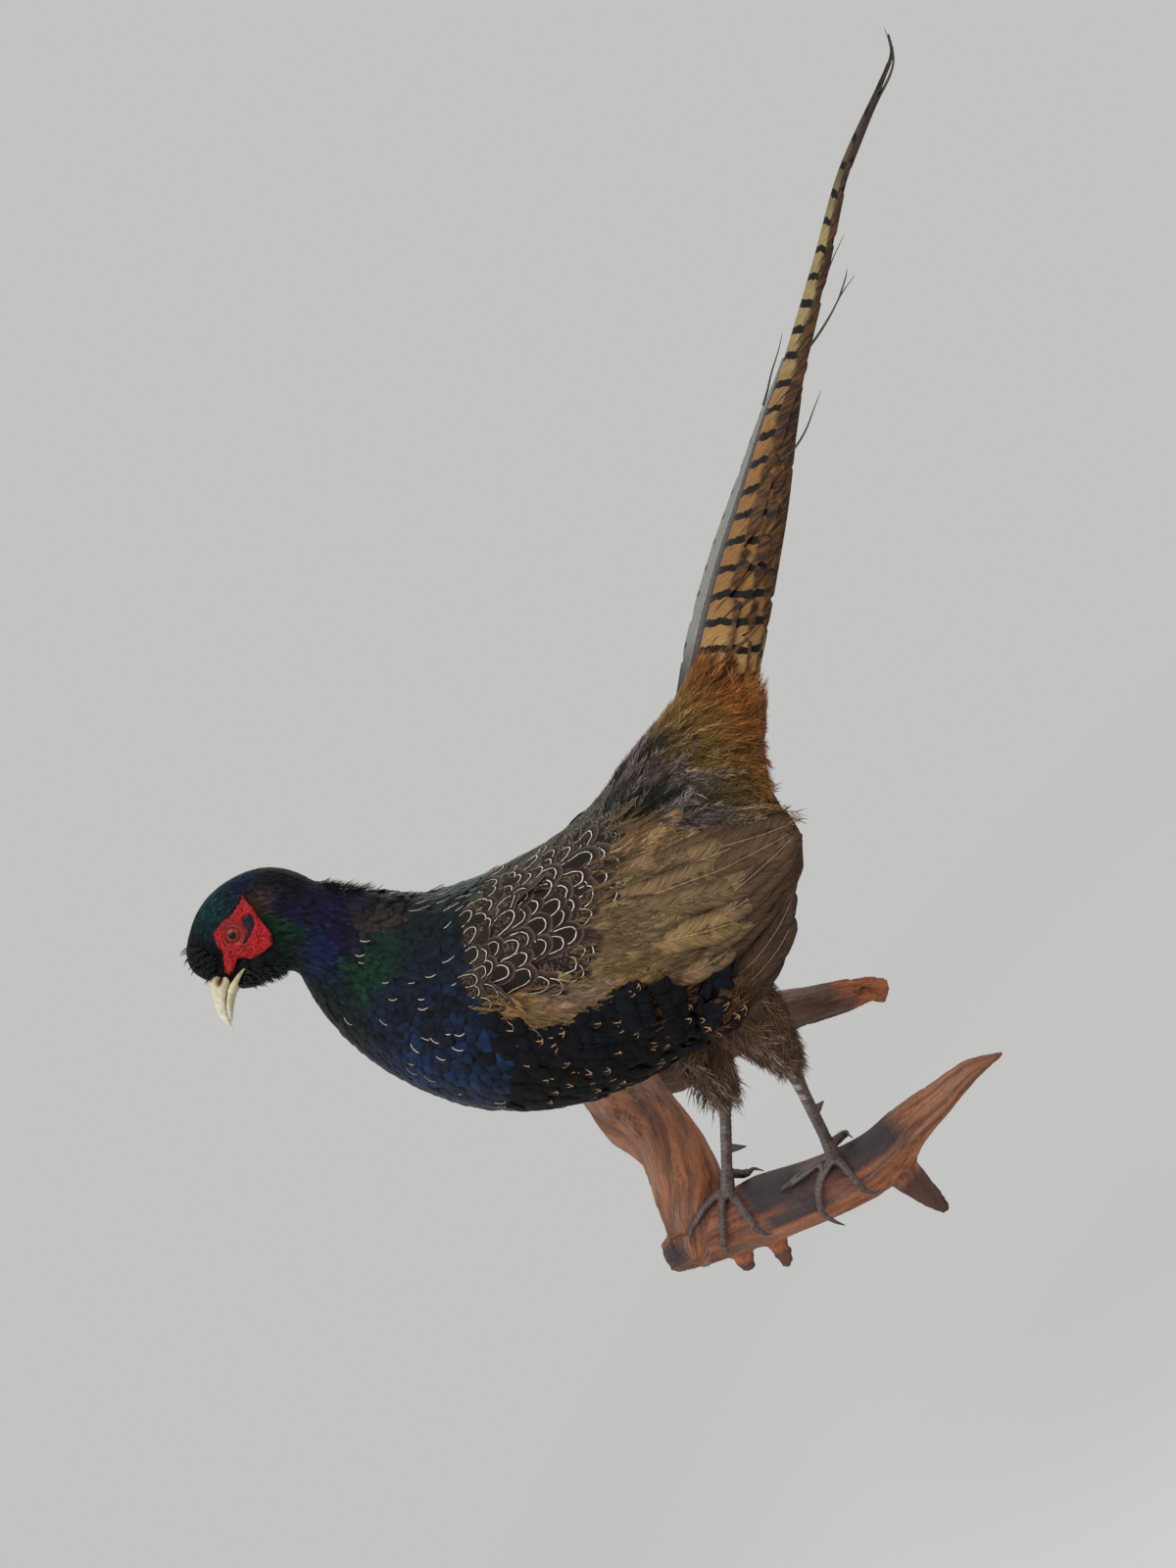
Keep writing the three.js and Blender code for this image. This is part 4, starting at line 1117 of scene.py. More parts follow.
backPlan = {**rounded, "long": 17, "wide": 8, "lift": 1.6, "arch": 0.8, "stray": 12, "columns": 5,
    "patch": 0.005, "fray": 0.2}
roots = rootsIn("upperBack", 4.3)
coat = growVanes("coat_back", roots, backPlan, coatColours(roots, "upperBack", 0.7, 0.22),
    chances(roots, 0.6, 0, 0), 0.1)
fringe = {"colour": rgb(92, 82, 64), "from": 0.04, "to": 0.26}
backFinish = plumeFinish("backPlumes", barbs=0.6, fringe=fringe, Roughness=0.66, shine=0.12)
wear(coat, finished(scallops(backFinish, rgb(160, 142, 116), (0.36, 0.46), rgb(15, 19, 16))), "body_feathers")

# wings
wingShape = [
    (40, 190), (120, 175), (160, 152), (186, 131), (208, 107), (224, 84), (221, 68), (208, 64), (199, 55),
    (189, 49), (167, 45), (152, 44), (128, 56), (100, 84), (60, 104), (36, 140),
]
# the long feathers of the wing, the undermost first: x, z along the shaft, then width, height and tone
flightLines = [
    ([(118, 48), (138, 41), (156, 41), (172, 46)], 10, -0.6, "dark"),
    ([(124, 54), (146, 47), (168, 47), (186, 51)], 11, -0.2, "dark"),
    ([(130, 60), (152, 53), (174, 54), (196, 59)], 12, 0.2, "dark"),
    ([(132, 68), (156, 60), (178, 60), (204, 65)], 12, 0.6, "brown"),
    ([(136, 76), (160, 67), (184, 66.5), (210, 70)], 12, 1.0, "brown"),
    ([(140, 84), (162, 74), (188, 72), (216, 73)], 12.5, 1.4, "brown"),
    ([(144, 92), (166, 81), (192, 78), (220, 76)], 13, 1.8, "brown"),
    ([(150, 98), (174, 88), (198, 83), (222, 79)], 13, 2.1, "brown"),
    ([(132, 88), (152, 78), (170, 73), (188, 70)], 14, 2.5, "tan"),
    ([(144, 96), (164, 84), (181, 78), (199, 74)], 14, 2.8, "tan"),
    ([(156, 104), (176, 92), (192, 84), (209, 79)], 14, 3.1, "tan"),
    ([(116, 88), (132, 77), (146, 70), (160, 66)], 14, 3.0, "tan"),
    ([(158, 112), (180, 100), (202, 90), (220, 81)], 15, 2.4, "brown"),
    ([(166, 124), (190, 107), (208, 94), (223, 84)], 15, 2.9, "brown"),
    ([(150, 128), (172, 115), (193, 102), (212, 91)], 15, 3.1, "tan"),
    ([(146, 133), (166, 124), (186, 114), (203, 104)], 14, 3.2, "brown"),
    ([(126, 134), (150, 119), (170, 107), (189, 94)], 15, 3.7, "tan"),
    ([(122, 130), (146, 113), (168, 96), (187, 82)], 15, 4.0, "tan"),
    ([(118, 112), (138, 98), (156, 84), (173, 71)], 15, 4.2, "gold"),
]
flightPlan = {
    "rows": [0, 0.1, 0.25, 0.4, 0.55, 0.68, 0.78, 0.85, 0.9, 0.94, 0.97, 0.99, 1],
    "half": [0.4, 0.7, 0.92, 1, 1, 0.98, 0.93, 0.84, 0.73, 0.58, 0.42, 0.25, 0.06],
    "long": 1, "wide": 1, "lift": 0.0, "arch": 1.1, "columns": 11, "patch": 0.012, "fray": 0.07,
    "thick": 0.35, "ripen": 0.5,
}


def flightPaths(rows):
    lines = []
    for side in (-1, 1):
        for stations, _, height, _ in flightLines:
            flat = curve(np.array(stations, float), 101)[np.round(rows * 100).astype(int)]
            line, known = [], None
            for (x, z), t in zip(flat, rows):
                spot = skinTree.ray_cast(Vector((x * mm, (midPlane + side * 200) * mm, z * mm)),
                    Vector((0, -side, 0)))[0]
                reach = abs(spot[1] / mm - midPlane) if spot else 0
                known = (
                    max(reach, 40) if known is None
                    else max(min(reach if reach > 30 else known - 0.5, known + 3), known - 2.0)
                )
                line.append((x, midPlane + side * (known + height * smooth(-0.05, 0.45, t) - 0.8), z))
            lines.append(line)
    line = np.array(lines)
    head = unit(np.gradient(line, axis=1))
    out = np.zeros_like(head) + np.array([0.0, 1.0, 0.0]) * np.repeat([-1, 1], len(flightLines))[:, None, None]
    normal = unit(out - (out * head).sum(-1, keepdims=True) * head)
    return line * mm, normal, head


flightPlan["paths"] = flightPaths
starts = flightPaths(np.array(flightPlan["rows"]))[0][:, 0]
roots = rootsAt(starts, np.array([plan[1] for plan in flightLines] * 2, float))
flightTones = {"dark": rgb(62, 43, 29), "brown": palette["covertDark"], "tan": rgb(114, 90, 61),
    "gold": rgb(128, 103, 66)}
tone = np.array([flightTones[plan[3]] for plan in flightLines] * 2) * dice.uniform(0.88, 1.12, (len(starts), 1))
flightMarks = np.tile([0.0, 1.0, 0.0], (len(starts), 1))
coat = growVanes("coat_flight", roots, flightPlan, (tone * 1.1, tone * 0.95), flightMarks, 0.0)
shaft = {"colour": rgb(186, 160, 124), "strength": 0.75, "stop": 0.02, "rare": -0.1, "width": 0.008}
# rim here is painted shade between the overlapping long feathers
flightFinish = plumeFinish("flightPlumes", barbs=0.5, shaft=shaft, streaks=0.7, bend=0.75, rim=0.45,
    locks=(24, 0.34, 0.14), Roughness=0.7)
wear(coat, finished(flightFinish), "wing_feathers")


def covertLimit(places):  # shorter of roots towards the wing's end, where the long feathers show
    x, z = sideView(places)
    return x < np.interp(z, [50, 70, 90, 110, 140, 160], [96, 116, 134, 146, 158, 150])


covertPlan = {
    "within": wingShape,
    "rows": [0, 0.12, 0.3, 0.5, 0.68, 0.82, 0.92, 0.98, 1],
    "half": [0.3, 0.6, 0.9, 1, 0.95, 0.8, 0.56, 0.3, 0.06],
    "long": 40, "wide": 12.5, "lift": 3.0, "arch": 0.9, "stray": 6, "columns": 7, "patch": 0.008, "curl": 0.12,
    "rise": 1.3, "fray": 0.25,
}
roots = rootsIn("covert", 5.6, covertLimit, lambda p: np.interp(p[:, 0] / mm, [60, 120, 160], [0.66, 0.9, 1.0]),
    facing=0.45)
coat = growVanes("coat_wing", roots, covertPlan, coatColours(roots, "covert", 0.8, 0.13),
    chances(roots, 0, 0.16, 0), 0.0)
shaft = {"colour": rgb(172, 148, 116), "strength": 0.85, "stop": 0.04, "rare": 0.3, "width": 0.02}
wingFinish = plumeFinish("wingPlumes", barbs=0.6, shaft=shaft, streaks=0.9, rim=0.25, bend=0.5,
    locks=(18, 0.42, 0.26), Roughness=0.7)
wear(coat, finished(wingFinish), "wing_feathers")


# flanks and belly
sidePlan = {**rounded, "long": 18, "wide": 11, "lift": 2.2, "arch": 1.3, "stray": 11,
    "columns": 5, "fray": 0.15}
roots = rootsIn("side", 4.9)
coat = growVanes("coat_side", roots, sidePlan, coatColours(roots, "side", 0.5, 0.24),
    chances(roots, 0, 0.0, 0.3), 0.2)
sideFinish = vees(plumeFinish("sidePlumes", barbs=0.75, rim=0.8, locks=(12, 0.5, 0.4), Roughness=0.7,
    shine=0.1), rgb(190, 152, 114))
wear(coat, finished(sideFinish), "breast_feathers")

puffPlan = {**rounded, "long": 18, "wide": 11.5, "lift": 3.6, "arch": 2.2, "stray": 16, "columns": 9,
    "droop": 1.4, "fray": 0.3, "stay": 20}
roots = rootsIn("puff", 5.4)
standing = []  # rows of them that stand up over the wing's lower edge
for line in ([(94, 48), (112, 57), (130, 66)], [(96, 62), (104, 72), (113, 87)],
        [(90, 84), (94, 92), (102, 101)]):
    for x, z in curve(np.array(line, float), 9):
        for side in (-1, 1):
            for step in (-2.2, 2.2):
                ray = Vector(((x + step) * mm, (midPlane + side * 200) * mm, (z - step) * mm))
                spot, up, face, _ = skinTree.ray_cast(ray, Vector((0, -side, 0)))
                if spot:
                    standing.append((*spot, *up, face))
standing = np.array(standing)
roots["place"] = np.concatenate([roots["place"], standing[:, :3]])
roots["up"] = np.concatenate([roots["up"], standing[:, 3:6]])
roots["face"] = np.concatenate([roots["face"], standing[:, 6].astype(int)])
roots["base"] = np.concatenate([roots["size"] * 0, np.full(len(standing), 5.8 * mm)])
roots["size"] = np.concatenate([roots["size"], np.full(len(standing), 0.72)])
coat = growVanes("coat_flank", roots, puffPlan, [tone * 0.8 for tone in coatColours(roots, "puff", 0.5, 0.3)],
    chances(roots, 0, 0.0, 0.2), 0.1)
flankFinish = vees(plumeFinish("flankPlumes", barbs=0.8, rim=0.7, locks=(12, 0.6, 0.4), Roughness=0.75,
    shine=0.14), rgb(196, 150, 108))
wear(coat, finished(flankFinish), "body_feathers")
tuftPlan = {"long": 15, "barbs": 16, "spread": 40, "reach": 0.4, "lift": 1.6, "wide": 0.22, "stray": 16,
    "first": 0.3, "base": 2.6, "vary": 0.6}
coat = growBarbs("coat_flank_tufts", roots, tuftPlan, coatColours(roots, "puff", 0.6, 0.3), 0.1)
wear(coat, looseFinish("flankTuftPlumes", Roughness=0.6), "body_feathers")


brownZone = [(106, 92), (116, 66), (138, 44), (118, 24), (98, 44), (92, 74)]
chosen = pool[(insideBy(brownZone, *sideView(pool)) > 0) & (offMiddle(pool) > 30)]
chosen = chosen[spread(chosen, np.full(len(chosen), 4.6 * mm))]
roots = rootsAt(chosen, dice.uniform(0.7, 1.2, len(chosen)))
hairPlan = {"long": 18, "barbs": 12, "spread": 30, "reach": 0.45, "lift": 1.6, "wide": 0.24, "stray": 18,
    "first": 0.15, "base": 5.0, "vary": 0.5}
tone = mixed(np.tile(palette["brown"], (len(chosen), 1)), palette["rust"], dice.uniform(0, 0.4, len(chosen)))
coat = growBarbs("coat_flank_hairs", roots, hairPlan, (tone * 0.6, tone), 0.0)
wear(coat, looseFinish("flankHairPlumes", Roughness=0.7), "body_feathers")

# loose plumage: rump, lower back, vent, thighs and the wisps over the wings
rumpPlan = {"long": 21, "barbs": 20, "spread": 36, "reach": 0.5, "lift": 2.6, "wide": 0.27, "stray": 11,
    "vary": 0.5, "stay": 4, "free": 0.122}
roots = rootsIn("rump", 3.3, lambda p: p[:, 0] / mm < np.interp(p[:, 2] / mm, [100, 124, 142], [238, 252, 253]),
    facing=0.7)
coat = growBarbs("coat_rump", roots, rumpPlan, coatColours(roots, "rump", 0.55, 0.24), 0.0)
wear(coat, looseFinish("rumpPlumes", Roughness=0.7), "rump_feathers")

lowerPlan = {"long": 20, "barbs": 16, "spread": 50, "reach": 0.42, "lift": 2.6, "wide": 0.3, "stray": 20,
    "vary": 0.55, "stay": 4, "free": 0.11}
roots = rootsIn("lowerBack", 3.7, lambda p: (p[:, 0] / mm < 210) | (p[:, 2] / mm > 98))
coat = growBarbs("coat_lower_back", roots, lowerPlan, coatColours(roots, "lowerBack", 0.5, 0.32), 0.0)
wear(coat, looseFinish("lowerBackPlumes", Roughness=0.66), "rump_feathers")

ventPlan = {"long": 24, "barbs": 18, "spread": 40, "reach": 0.5, "lift": 4.0, "wide": 0.26, "stray": 20,
    "vary": 0.45, "stay": 8}
roots = rootsIn("vent", 3.8)
coat = growBarbs("coat_vent", roots, ventPlan, coatColours(roots, "vent", 0.7, 0.26), 0.0)
wear(coat, looseFinish("ventPlumes", Roughness=0.75), "thigh_feathers")


def thighSize(places):  # long and full above, short at the hock, fuller on the right
    full = np.interp(thighShare(places), [0.3, 0.5, 0.75, 0.9, 1], [1.3, 1.15, 0.85, 0.55, 0.35])
    return full * np.where(places[:, 1] / mm > midPlane, 1.35, 0.95)


thighPlan = {"long": 22, "barbs": 18, "spread": 40, "reach": 0.55, "lift": 4.2, "wide": 0.24,
    "stray": 20, "vary": 0.45}
roots = rootsIn("thigh", 2.9, facing=0.75)
roots["size"] = thighSize(roots["place"])
first, last = coatColours(roots, "thigh", 0.7, 0.24)
whitish = (dice.uniform(size=len(last)) < 0.3) & (roots["up"][:, 0] < 0.1) & (roots["place"][:, 2] > 8 * mm)
last = np.where(whitish[:, None], palette["fluffPale"], last)
coat = growBarbs("coat_thigh", roots, thighPlan, (first, last), 0.0)
wear(coat, looseFinish("thighPlumes", Roughness=0.78), "thigh_feathers")

wispPlan = {"long": 17, "barbs": 14, "spread": 26, "reach": 0.42, "lift": 0.8, "wide": 0.2, "stray": 8,
    "first": 0.1, "base": 2.4, "vary": 0.5}
roots = rootsIn("covert", 4.3, lambda p: (p[:, 0] / mm < 176) & (p[:, 2] / mm > 66), facing=0.35)
coat = growBarbs("coat_wing_wisps", roots, wispPlan, coatColours(roots, "covert", 0.8, 0.2), 0.0)
wear(coat, looseFinish("wingWispPlumes", Roughness=0.72), "wing_feathers")

skinFinish = Finish("skinUnderPlumes", Roughness=0.8, shine=0.08)
underdown = skinFinish.noise(skinFinish.place(), 420, 3, 0.6)
skinFinish.feed("Base Color", skinFinish.shaded(skinFinish.attribute("ground"), underdown,
    (0.3, 0.5), (0.7, 1.0)))
skinFinish.bump(underdown, 0.6, 0.0012)
wear(skin, skinFinish, "body_feathers", *flesh)

print("tail")
tailStations = np.array([
    (243, -195, 142, 19), (275, -193, 158.5, 21), (313, -191, 178, 20), (347, -189, 195, 17.5),
    (387, -187, 217, 13), (406, -186, 228, 9.5), (459, -184, 255, 5.6), (502, -182, 276, 4),
    (545, -181, 289, 2.4), (562, -180, 295, 1.7), (569, -180, 304, 1.2),
])
tailLine = curve(tailStations, 900)
tailRun = np.concatenate([[0], np.cumsum(np.linalg.norm(np.diff(tailLine[:, :3], axis=0), axis=1))])


def tailAt(s):  # centre, heading, left, up and arch of the tail at a distance in mm
    found = np.stack([np.interp(s, tailRun, tailLine[:, k]) for k in range(4)], -1)
    ahead = np.stack([np.interp(s + 1.5, tailRun, tailLine[:, k]) - np.interp(s - 1.5, tailRun, tailLine[:, k])
        for k in range(3)], -1)
    ahead = unit(ahead)
    left = unit(np.array([0.0, -1.0, 0.0]) + ahead * ahead[:, 1:2])
    return found[:, :3], ahead, left, np.cross(left, ahead), found[:, 3]


def ragged(count, step, deepest):  # how far an edge is torn back along its length, 0 to deepest
    out = np.zeros(count)
    spot = int(dice.uniform(2, 8))
    while spot < count - 3:
        long = int(dice.uniform(2, 7))
        out[spot : spot + long] = (
            np.linspace(1, 0.2, len(out[spot : spot + long])) * dice.uniform(0.15, 1) * deepest
        )
        spot += long + int(dice.exponential(step))
    return out


tailPlan = {
    "step": 2.2, "columns": 10, "edge": 0.3, "shaft": 0.9, "barGap": 14.8, "markScale": 500,
    "pairs": [
        {"layer": 0, "length": tailRun[-1], "width": 27, "from": 3, "torn": 0.3, "shaft": 0.07},
        {"layer": 1, "length": 278, "width": 27, "from": 26, "torn": 0.3, "shaft": 0.22},
        {"layer": 2, "length": 231, "width": 26, "from": 48, "torn": 0.25, "shaft": 0.25},
        {"layer": 3, "length": 198, "width": 23, "from": 72, "torn": 0.2, "shaft": 0.3},
        {"layer": 4, "length": 176, "width": 17, "from": 94, "torn": 0.2, "shaft": 0.3},
    ],
}


def longFeather(name, rings, share, s, length, order, side):
    # rings holds the top columns and then the under ones, for each row
    rows, sides = rings.shape[:2]
    obj = meshOf(name, rings.reshape(-1, 3) * mm, tubeFaces(rows, sides))
    if side > 0:
        edited(obj, bpy.ops.mesh.normals_make_consistent, inside=False)
    both = np.concatenate([share, share[:, ::-1]], 1)
    uv = np.stack([both, np.repeat((s / length)[:, None], sides, 1)], -1)
    setMap(obj, "vane", uv.reshape(-1, 2))
    strip = np.stack([0.02 + order * 0.075 + both * 0.03, 0.02 + 0.96 * uv[..., 1]], -1)
    setMap(obj, "OFBake", strip.reshape(-1, 2))
    scale = tailPlan["markScale"]
    place = np.stack([s / scale, np.full(rows, length / scale), np.full(rows, 0.5 + 0.5 * side),
        np.full(rows, dice.uniform())], -1)
    setValues(obj, "marks", np.repeat(place[:, None], sides, 1).reshape(-1, 4))
    softEdges(obj, 50)
    return obj


tail = Finish("tailPlumes", Roughness=0.66, shine=0.2)
uv = tail.uv("vane")
across, along = tail.part(uv, 0), tail.part(uv, 1)
marks = tail.attribute("marks")
run = tail.part(marks, 0) * tailPlan["markScale"]
chance = tail.attribute("marks", "Alpha")
slant = tail.vector((run - across * 16) * 0.5, across * 2.0, chance * 30)
barb = tail.noise(slant, 1.7, 3, 0.65)
patchy = tail.noise(tail.vector(run * 0.05, across * 3.0, chance * 20), 1.3, 3, 0.6)
colour = tail.blend((run - 5).between(0, 60), rgb(164, 134, 84), rgb(130, 92, 50))
colour = tail.blend(run.between(140, 215), colour, rgb(138, 120, 80))
colour = tail.blend(run.between(255, 300), colour, rgb(84, 72, 54))
colour = tail.blend(run.between(296, 330), colour, rgb(46, 37, 29))
reach = 0.84 + (patchy - 0.5) * 0.5 - run.between(30, 90) * 0.22 - run.between(120, 260) * 0.12
outer = (across - reach).between(0.0, 0.16)
fringe = tail.blend(tail.noise(slant, 0.9, 2, 0.7).between(0.35, 0.65), rgb(38, 25, 15), rgb(92, 60, 32))
fringe = tail.blend(run.between(230, 330), fringe, rgb(54, 44, 38))
colour = tail.blend(outer, colour, fringe)
phase = (
    (run - across * 5 + across * run.between(120, 300) * 9
    + (tail.noise(tail.vector(run * 0.06, across * 2.6, chance * 11), 1.5, 2, 0.5) - 0.5) * 5 + chance * 9)
    / tailPlan["barGap"]
)
bars = (0.16 - abs(phase.maths("FRACT", phase) - 0.5)).between(0.0, 0.035)
barEnd = (
    (reach + 0.14 - across).between(0.0, 0.06) * (run - 8).between(0, 8) * (across - 0.015).between(0.0, 0.03)
)
colour = tail.blend(bars * barEnd, colour, rgb(12, 9, 8))
loose = tail.noise(tail.vector((run - across * 34) * 0.16, across * 1.0, chance * 50), 1.4, 2, 0.7)
loose = loose.between(0.54, 0.62)
colour = tail.blend(loose * (across - 0.3).between(0.0, 0.3) * 0.85, colour, rgb(27, 20, 15))
colour = tail.shaded(colour, barb, (0.25, 0.62), (0.75, 1.3))
tail.feed("Base Color", colour)
tail.bump(barb, 0.5, 0.0008)

tailPieces = []
for number, pair in enumerate(tailPlan["pairs"]):
    for word, side in (("left", 1), ("right", -1)):
        rows = int(pair["length"] / 1.9)
        s = np.linspace(0, pair["length"] - 1.0, rows)
        centre, ahead, left, up, arch = tailAt(np.minimum(s, tailRun[-1]))
        radius = np.maximum(arch - pair["layer"] * tailPlan["step"], 1.0)
        span = pair["width"] * (1 - (s / pair["length"]) ** 1.3) + 1.1
        torn = ragged(rows, 9, pair["torn"]) * smooth(12, 50, s)
        share = np.linspace(0, 1, tailPlan["columns"])[None] * (1 - torn)[:, None]
        angle = np.minimum(math.radians(pair["from"]) + span[:, None] * share / radius[:, None],
            math.radians(172))
        thick = (
            tailPlan["edge"] + (tailPlan["shaft"] - tailPlan["edge"])
            * np.exp(-(((share - pair["shaft"]) * span[:, None]) / 1.1) ** 2)
        )
        flare = 0.5 * np.sin(share * 3.0) * np.sin(s / 23 + number)[:, None] * smooth(30, 90, s)[:, None]
        reachOut = radius[:, None] - 0.15 + np.minimum(flare, 0.3)
        out = side * np.sin(angle)[..., None] * left[:, None] + np.cos(angle)[..., None] * up[:, None]
        over = centre[:, None] + out * (reachOut + thick / 2)[..., None]
        under = centre[:, None] + out * np.maximum(reachOut - thick / 2, 0.2)[..., None]
        rings = np.concatenate([over, under[:, ::-1]], 1)
        feather = longFeather(f"rectrix_{word}_{number + 1}", rings, share, s, pair["length"],
            number + (5 if side < 0 else 0), side)
        wear(feather, tail, "tail_feathers", f"tail_{word}_{number + 1}")
        tailPieces.append(feather)

raised = {"length": 194, "height": 8.5, "lean": 16, "clear": 0.2, "aside": 1.0, "columns": 10, "barGap": 14.6}
rows = 110
s = np.linspace(2, raised["length"] - 0.5, rows)
centre, ahead, left, up, arch = tailAt(s)
lean = math.radians(raised["lean"])
share = (
    np.repeat(np.linspace(0, 1, raised["columns"])[None], rows, 0)
    * (1 - ragged(rows, 12, 0.12) * smooth(8, 30, s))[:, None]
)
span = raised["height"] * (1 - (s / raised["length"]) ** 2)[:, None] + 0.9
out = arch[:, None] + raised["clear"] + span * share
bow = 1.6 * np.sin(share * 3.14) * (1 - s / raised["length"])[:, None]  # the vane is bowed across
middle = (
    centre[:, None] + left[:, None] * (-out * math.sin(lean) - raised["aside"] + bow)[..., None]
    + up[:, None] * (out * math.cos(lean))[..., None]
)
flat = -up[:, None] * math.sin(lean) - left[:, None] * math.cos(lean)
thick = 0.25 + 0.9 * np.exp(-(((share - 0.45) * span) / 0.9) ** 2)
rings = np.concatenate([middle + flat * thick[..., None] / 2,
    (middle - flat * thick[..., None] / 2)[:, ::-1]], 1)
slipped = longFeather("rectrix_raised", rings, share, s, raised["length"], 10, 1)
plume = Finish("slippedPlume", Roughness=0.5)
uv = plume.uv("vane")
across = plume.part(uv, 0)
run = plume.part(plume.attribute("marks"), 0) * tailPlan["markScale"]
barb = plume.noise(plume.vector((run - abs(across - 0.45) * 9) * 0.7, across * 2.0, 0.0), 1.6, 3, 0.6)
colour = plume.blend((across - 0.45).between(-0.3, 0.35), rgb(104, 104, 106), rgb(112, 112, 106))
colour = plume.blend((0.1 - abs(across - 0.45)).between(0.0, 0.08) * 0.5, colour, rgb(146, 142, 128))
colour = plume.blend((0.045 - abs(across - 0.47)).between(0.0, 0.04) * 0.45, colour, rgb(150, 146, 130))
speck = plume.noise(plume.vector(run * 0.9, across * 7, 3.0), 1.2, 2, 0.7).between(0.52, 0.66)
colour = plume.blend(speck * (0.62 - across).between(-0.1, 0.3) * 0.75, colour, rgb(52, 49, 57))
phase = (run + across * 5) / raised["barGap"]
spots = (0.13 - abs(phase.maths("FRACT", phase) - 0.5)).between(0.0, 0.04) * (across - 0.86).between(0.0, 0.05)
colour = plume.blend(spots, colour, rgb(16, 13, 14))
colour = plume.blend((0.16 - across).between(0.0, 0.12), colour, rgb(46, 34, 27))
colour = plume.blend((40 - run).between(0, 30), colour, rgb(44, 32, 25))
plume.feed("Base Color", plume.shaded(colour, barb, (0.25, 0.8), (0.75, 1.16)))
plume.bump(barb, 0.4, 0.0005)
wear(slipped, plume, "slipped_feather", "tail_right_raised")


strands = [
    {"line": [(416, -193, 232.5), (428, -191, 233), (441, -187, 234.8), (453.3, -184, 237.4),
        (465.4, -183, 238.3)], "thick": 0.7},
    {"line": [(450, -185, 236.7), (460.7, -184.5, 241), (465.1, -184, 243.5)], "thick": 0.4},
    {"line": [(416, -194, 233.5), (432, -190, 239), (448.4, -185, 246.8), (463.6, -182, 252.5),
        (478.3, -180, 256.4)], "thick": 0.6},
    {"line": [(364, -202.5, 206), (374, -199, 204.5), (386, -194, 206), (398, -192, 210), (407.2, -192, 213.1)],
        "thick": 0.6},
    {"line": [(384, -181.6, 232.5), (392, -180.5, 236), (401, -178, 240.5), (412, -176, 245),
        (421, -175, 249.5)], "thick": 0.6},
    {"line": [(497, -183, 273), (526.1, -181, 284.5), (546.9, -180, 291.4), (557.4, -179.5, 295.4)],
        "thick": 0.8},
    {"line": [(505, -183, 276), (534.6, -182, 285.5), (553.5, -181.5, 290), (562.5, -181, 296),
        (568.6, -181, 307.5)], "thick": 0.9},
]
wisps = joinedParts("tail_wisps", [strand(part["line"], part["thick"]) for part in strands])
points = placesOf(wisps)
setMap(wisps, "OFBake", np.stack([0.9 + (points[:, 1] + 0.18) * 0.5, 0.1 + (points[:, 0] - 0.36) * 2], -1))
wispFinish = Finish("tailWisps", Roughness=0.55)
tint = wispFinish.noise(wispFinish.place(), 320, 2, 0.6)
wispFinish.feed("Base Color", wispFinish.ramp(tint, (0.3, rgb(30, 24, 22)), (0.7, rgb(70, 56, 44))))
shadeSmooth(wisps)
wear(wisps, wispFinish, "tail_feathers")

print("bill")
upperBill = np.array([
    (22, 10.6, -3.6, 7.8), (24, 10, -3.4, 7.6), (31, 11.6, -2.6, 7), (35.6, 10.7, -2, 6.2),
    (42, 6.6, -2.7, 5), (48.2, 2.6, -5, 3.6), (52.3, -1.4, -7.6, 2.2), (54.6, -5.6, -9.4, 1.2),
    (55.4, -9, -10.4, 0.5), (55.5, -10.2, -10.9, 0.2),
])
lowerBill = np.array([
    (20, -3.4, -7.9, 7.2), (31, -1.6, -6.3, 6.7), (37.4, -1.2, -6, 5.6), (44.3, -2.6, -6.9, 4.2),
    (49, -4.9, -8.1, 2.8), (51.8, -6.8, -8.9, 1.4), (52.8, -7.9, -9, 0.4),
])


def hornPart(stations, widest, inset, sides=40, count=60):
    line = curve(stations, count)
    turn = np.arange(sides) * 2 * math.pi / sides
    f, top, bottom, half = (line[:, k, None] for k in range(4))
    base = bottom + (top - bottom) * widest
    ridge = np.where(np.sin(turn) > 0, top - base, base - bottom)
    bulge = np.abs(np.cos(turn)) ** 0.9 * np.sign(np.cos(turn))
    return f + 0 * turn, (half - inset) * bulge, base + (ridge - inset) * np.sin(turn)


f, l, u = hornPart(upperBill, 0.34, 0.12)
hole = np.exp(-(((f - 33.4) / 2.5) ** 2) - (((u - 3.9) / 1.15) ** 2))
flap = np.exp(-(((f - 33.8) / 4.2) ** 2) - (((u - 6.9) / 2.0) ** 2))
flakes = np.array([noise.noise(Vector((a * 0.25, b * 0.6, c * 0.9)))
    for a, b, c in zip(f.ravel(), l.ravel(), u.ravel())]).reshape(f.shape)
push = np.sign(l) * (0.95 * flap - 2.1 * hole + 0.12 * flakes)
billUpper = meshOf("bill_top", fromHead(f, l + push, u).reshape(-1, 3), tubeFaces(*f.shape))
seam = smooth(0.9, 0.3, np.abs(u - np.interp(f, upperBill[:, 0], upperBill[:, 2]) - 0.5)) * smooth(50, 40, f)
# darkness: painted shade in the nostril's groove under the flap, plus a dark line along the bill's seam
darkness = np.clip(hole * 1.4 + seam * 0.45, 0, 1)
setValues(billUpper, "hole", darkness.ravel())
setValues(billUpper, "reach", ((f - 22) / 34).ravel())
shadeSmooth(billUpper)
f, l, u = hornPart(lowerBill, 0.66, 0.1)
underPlaces, gapeParts = fromHead(f, l, u).reshape(-1, 3) / mm, []
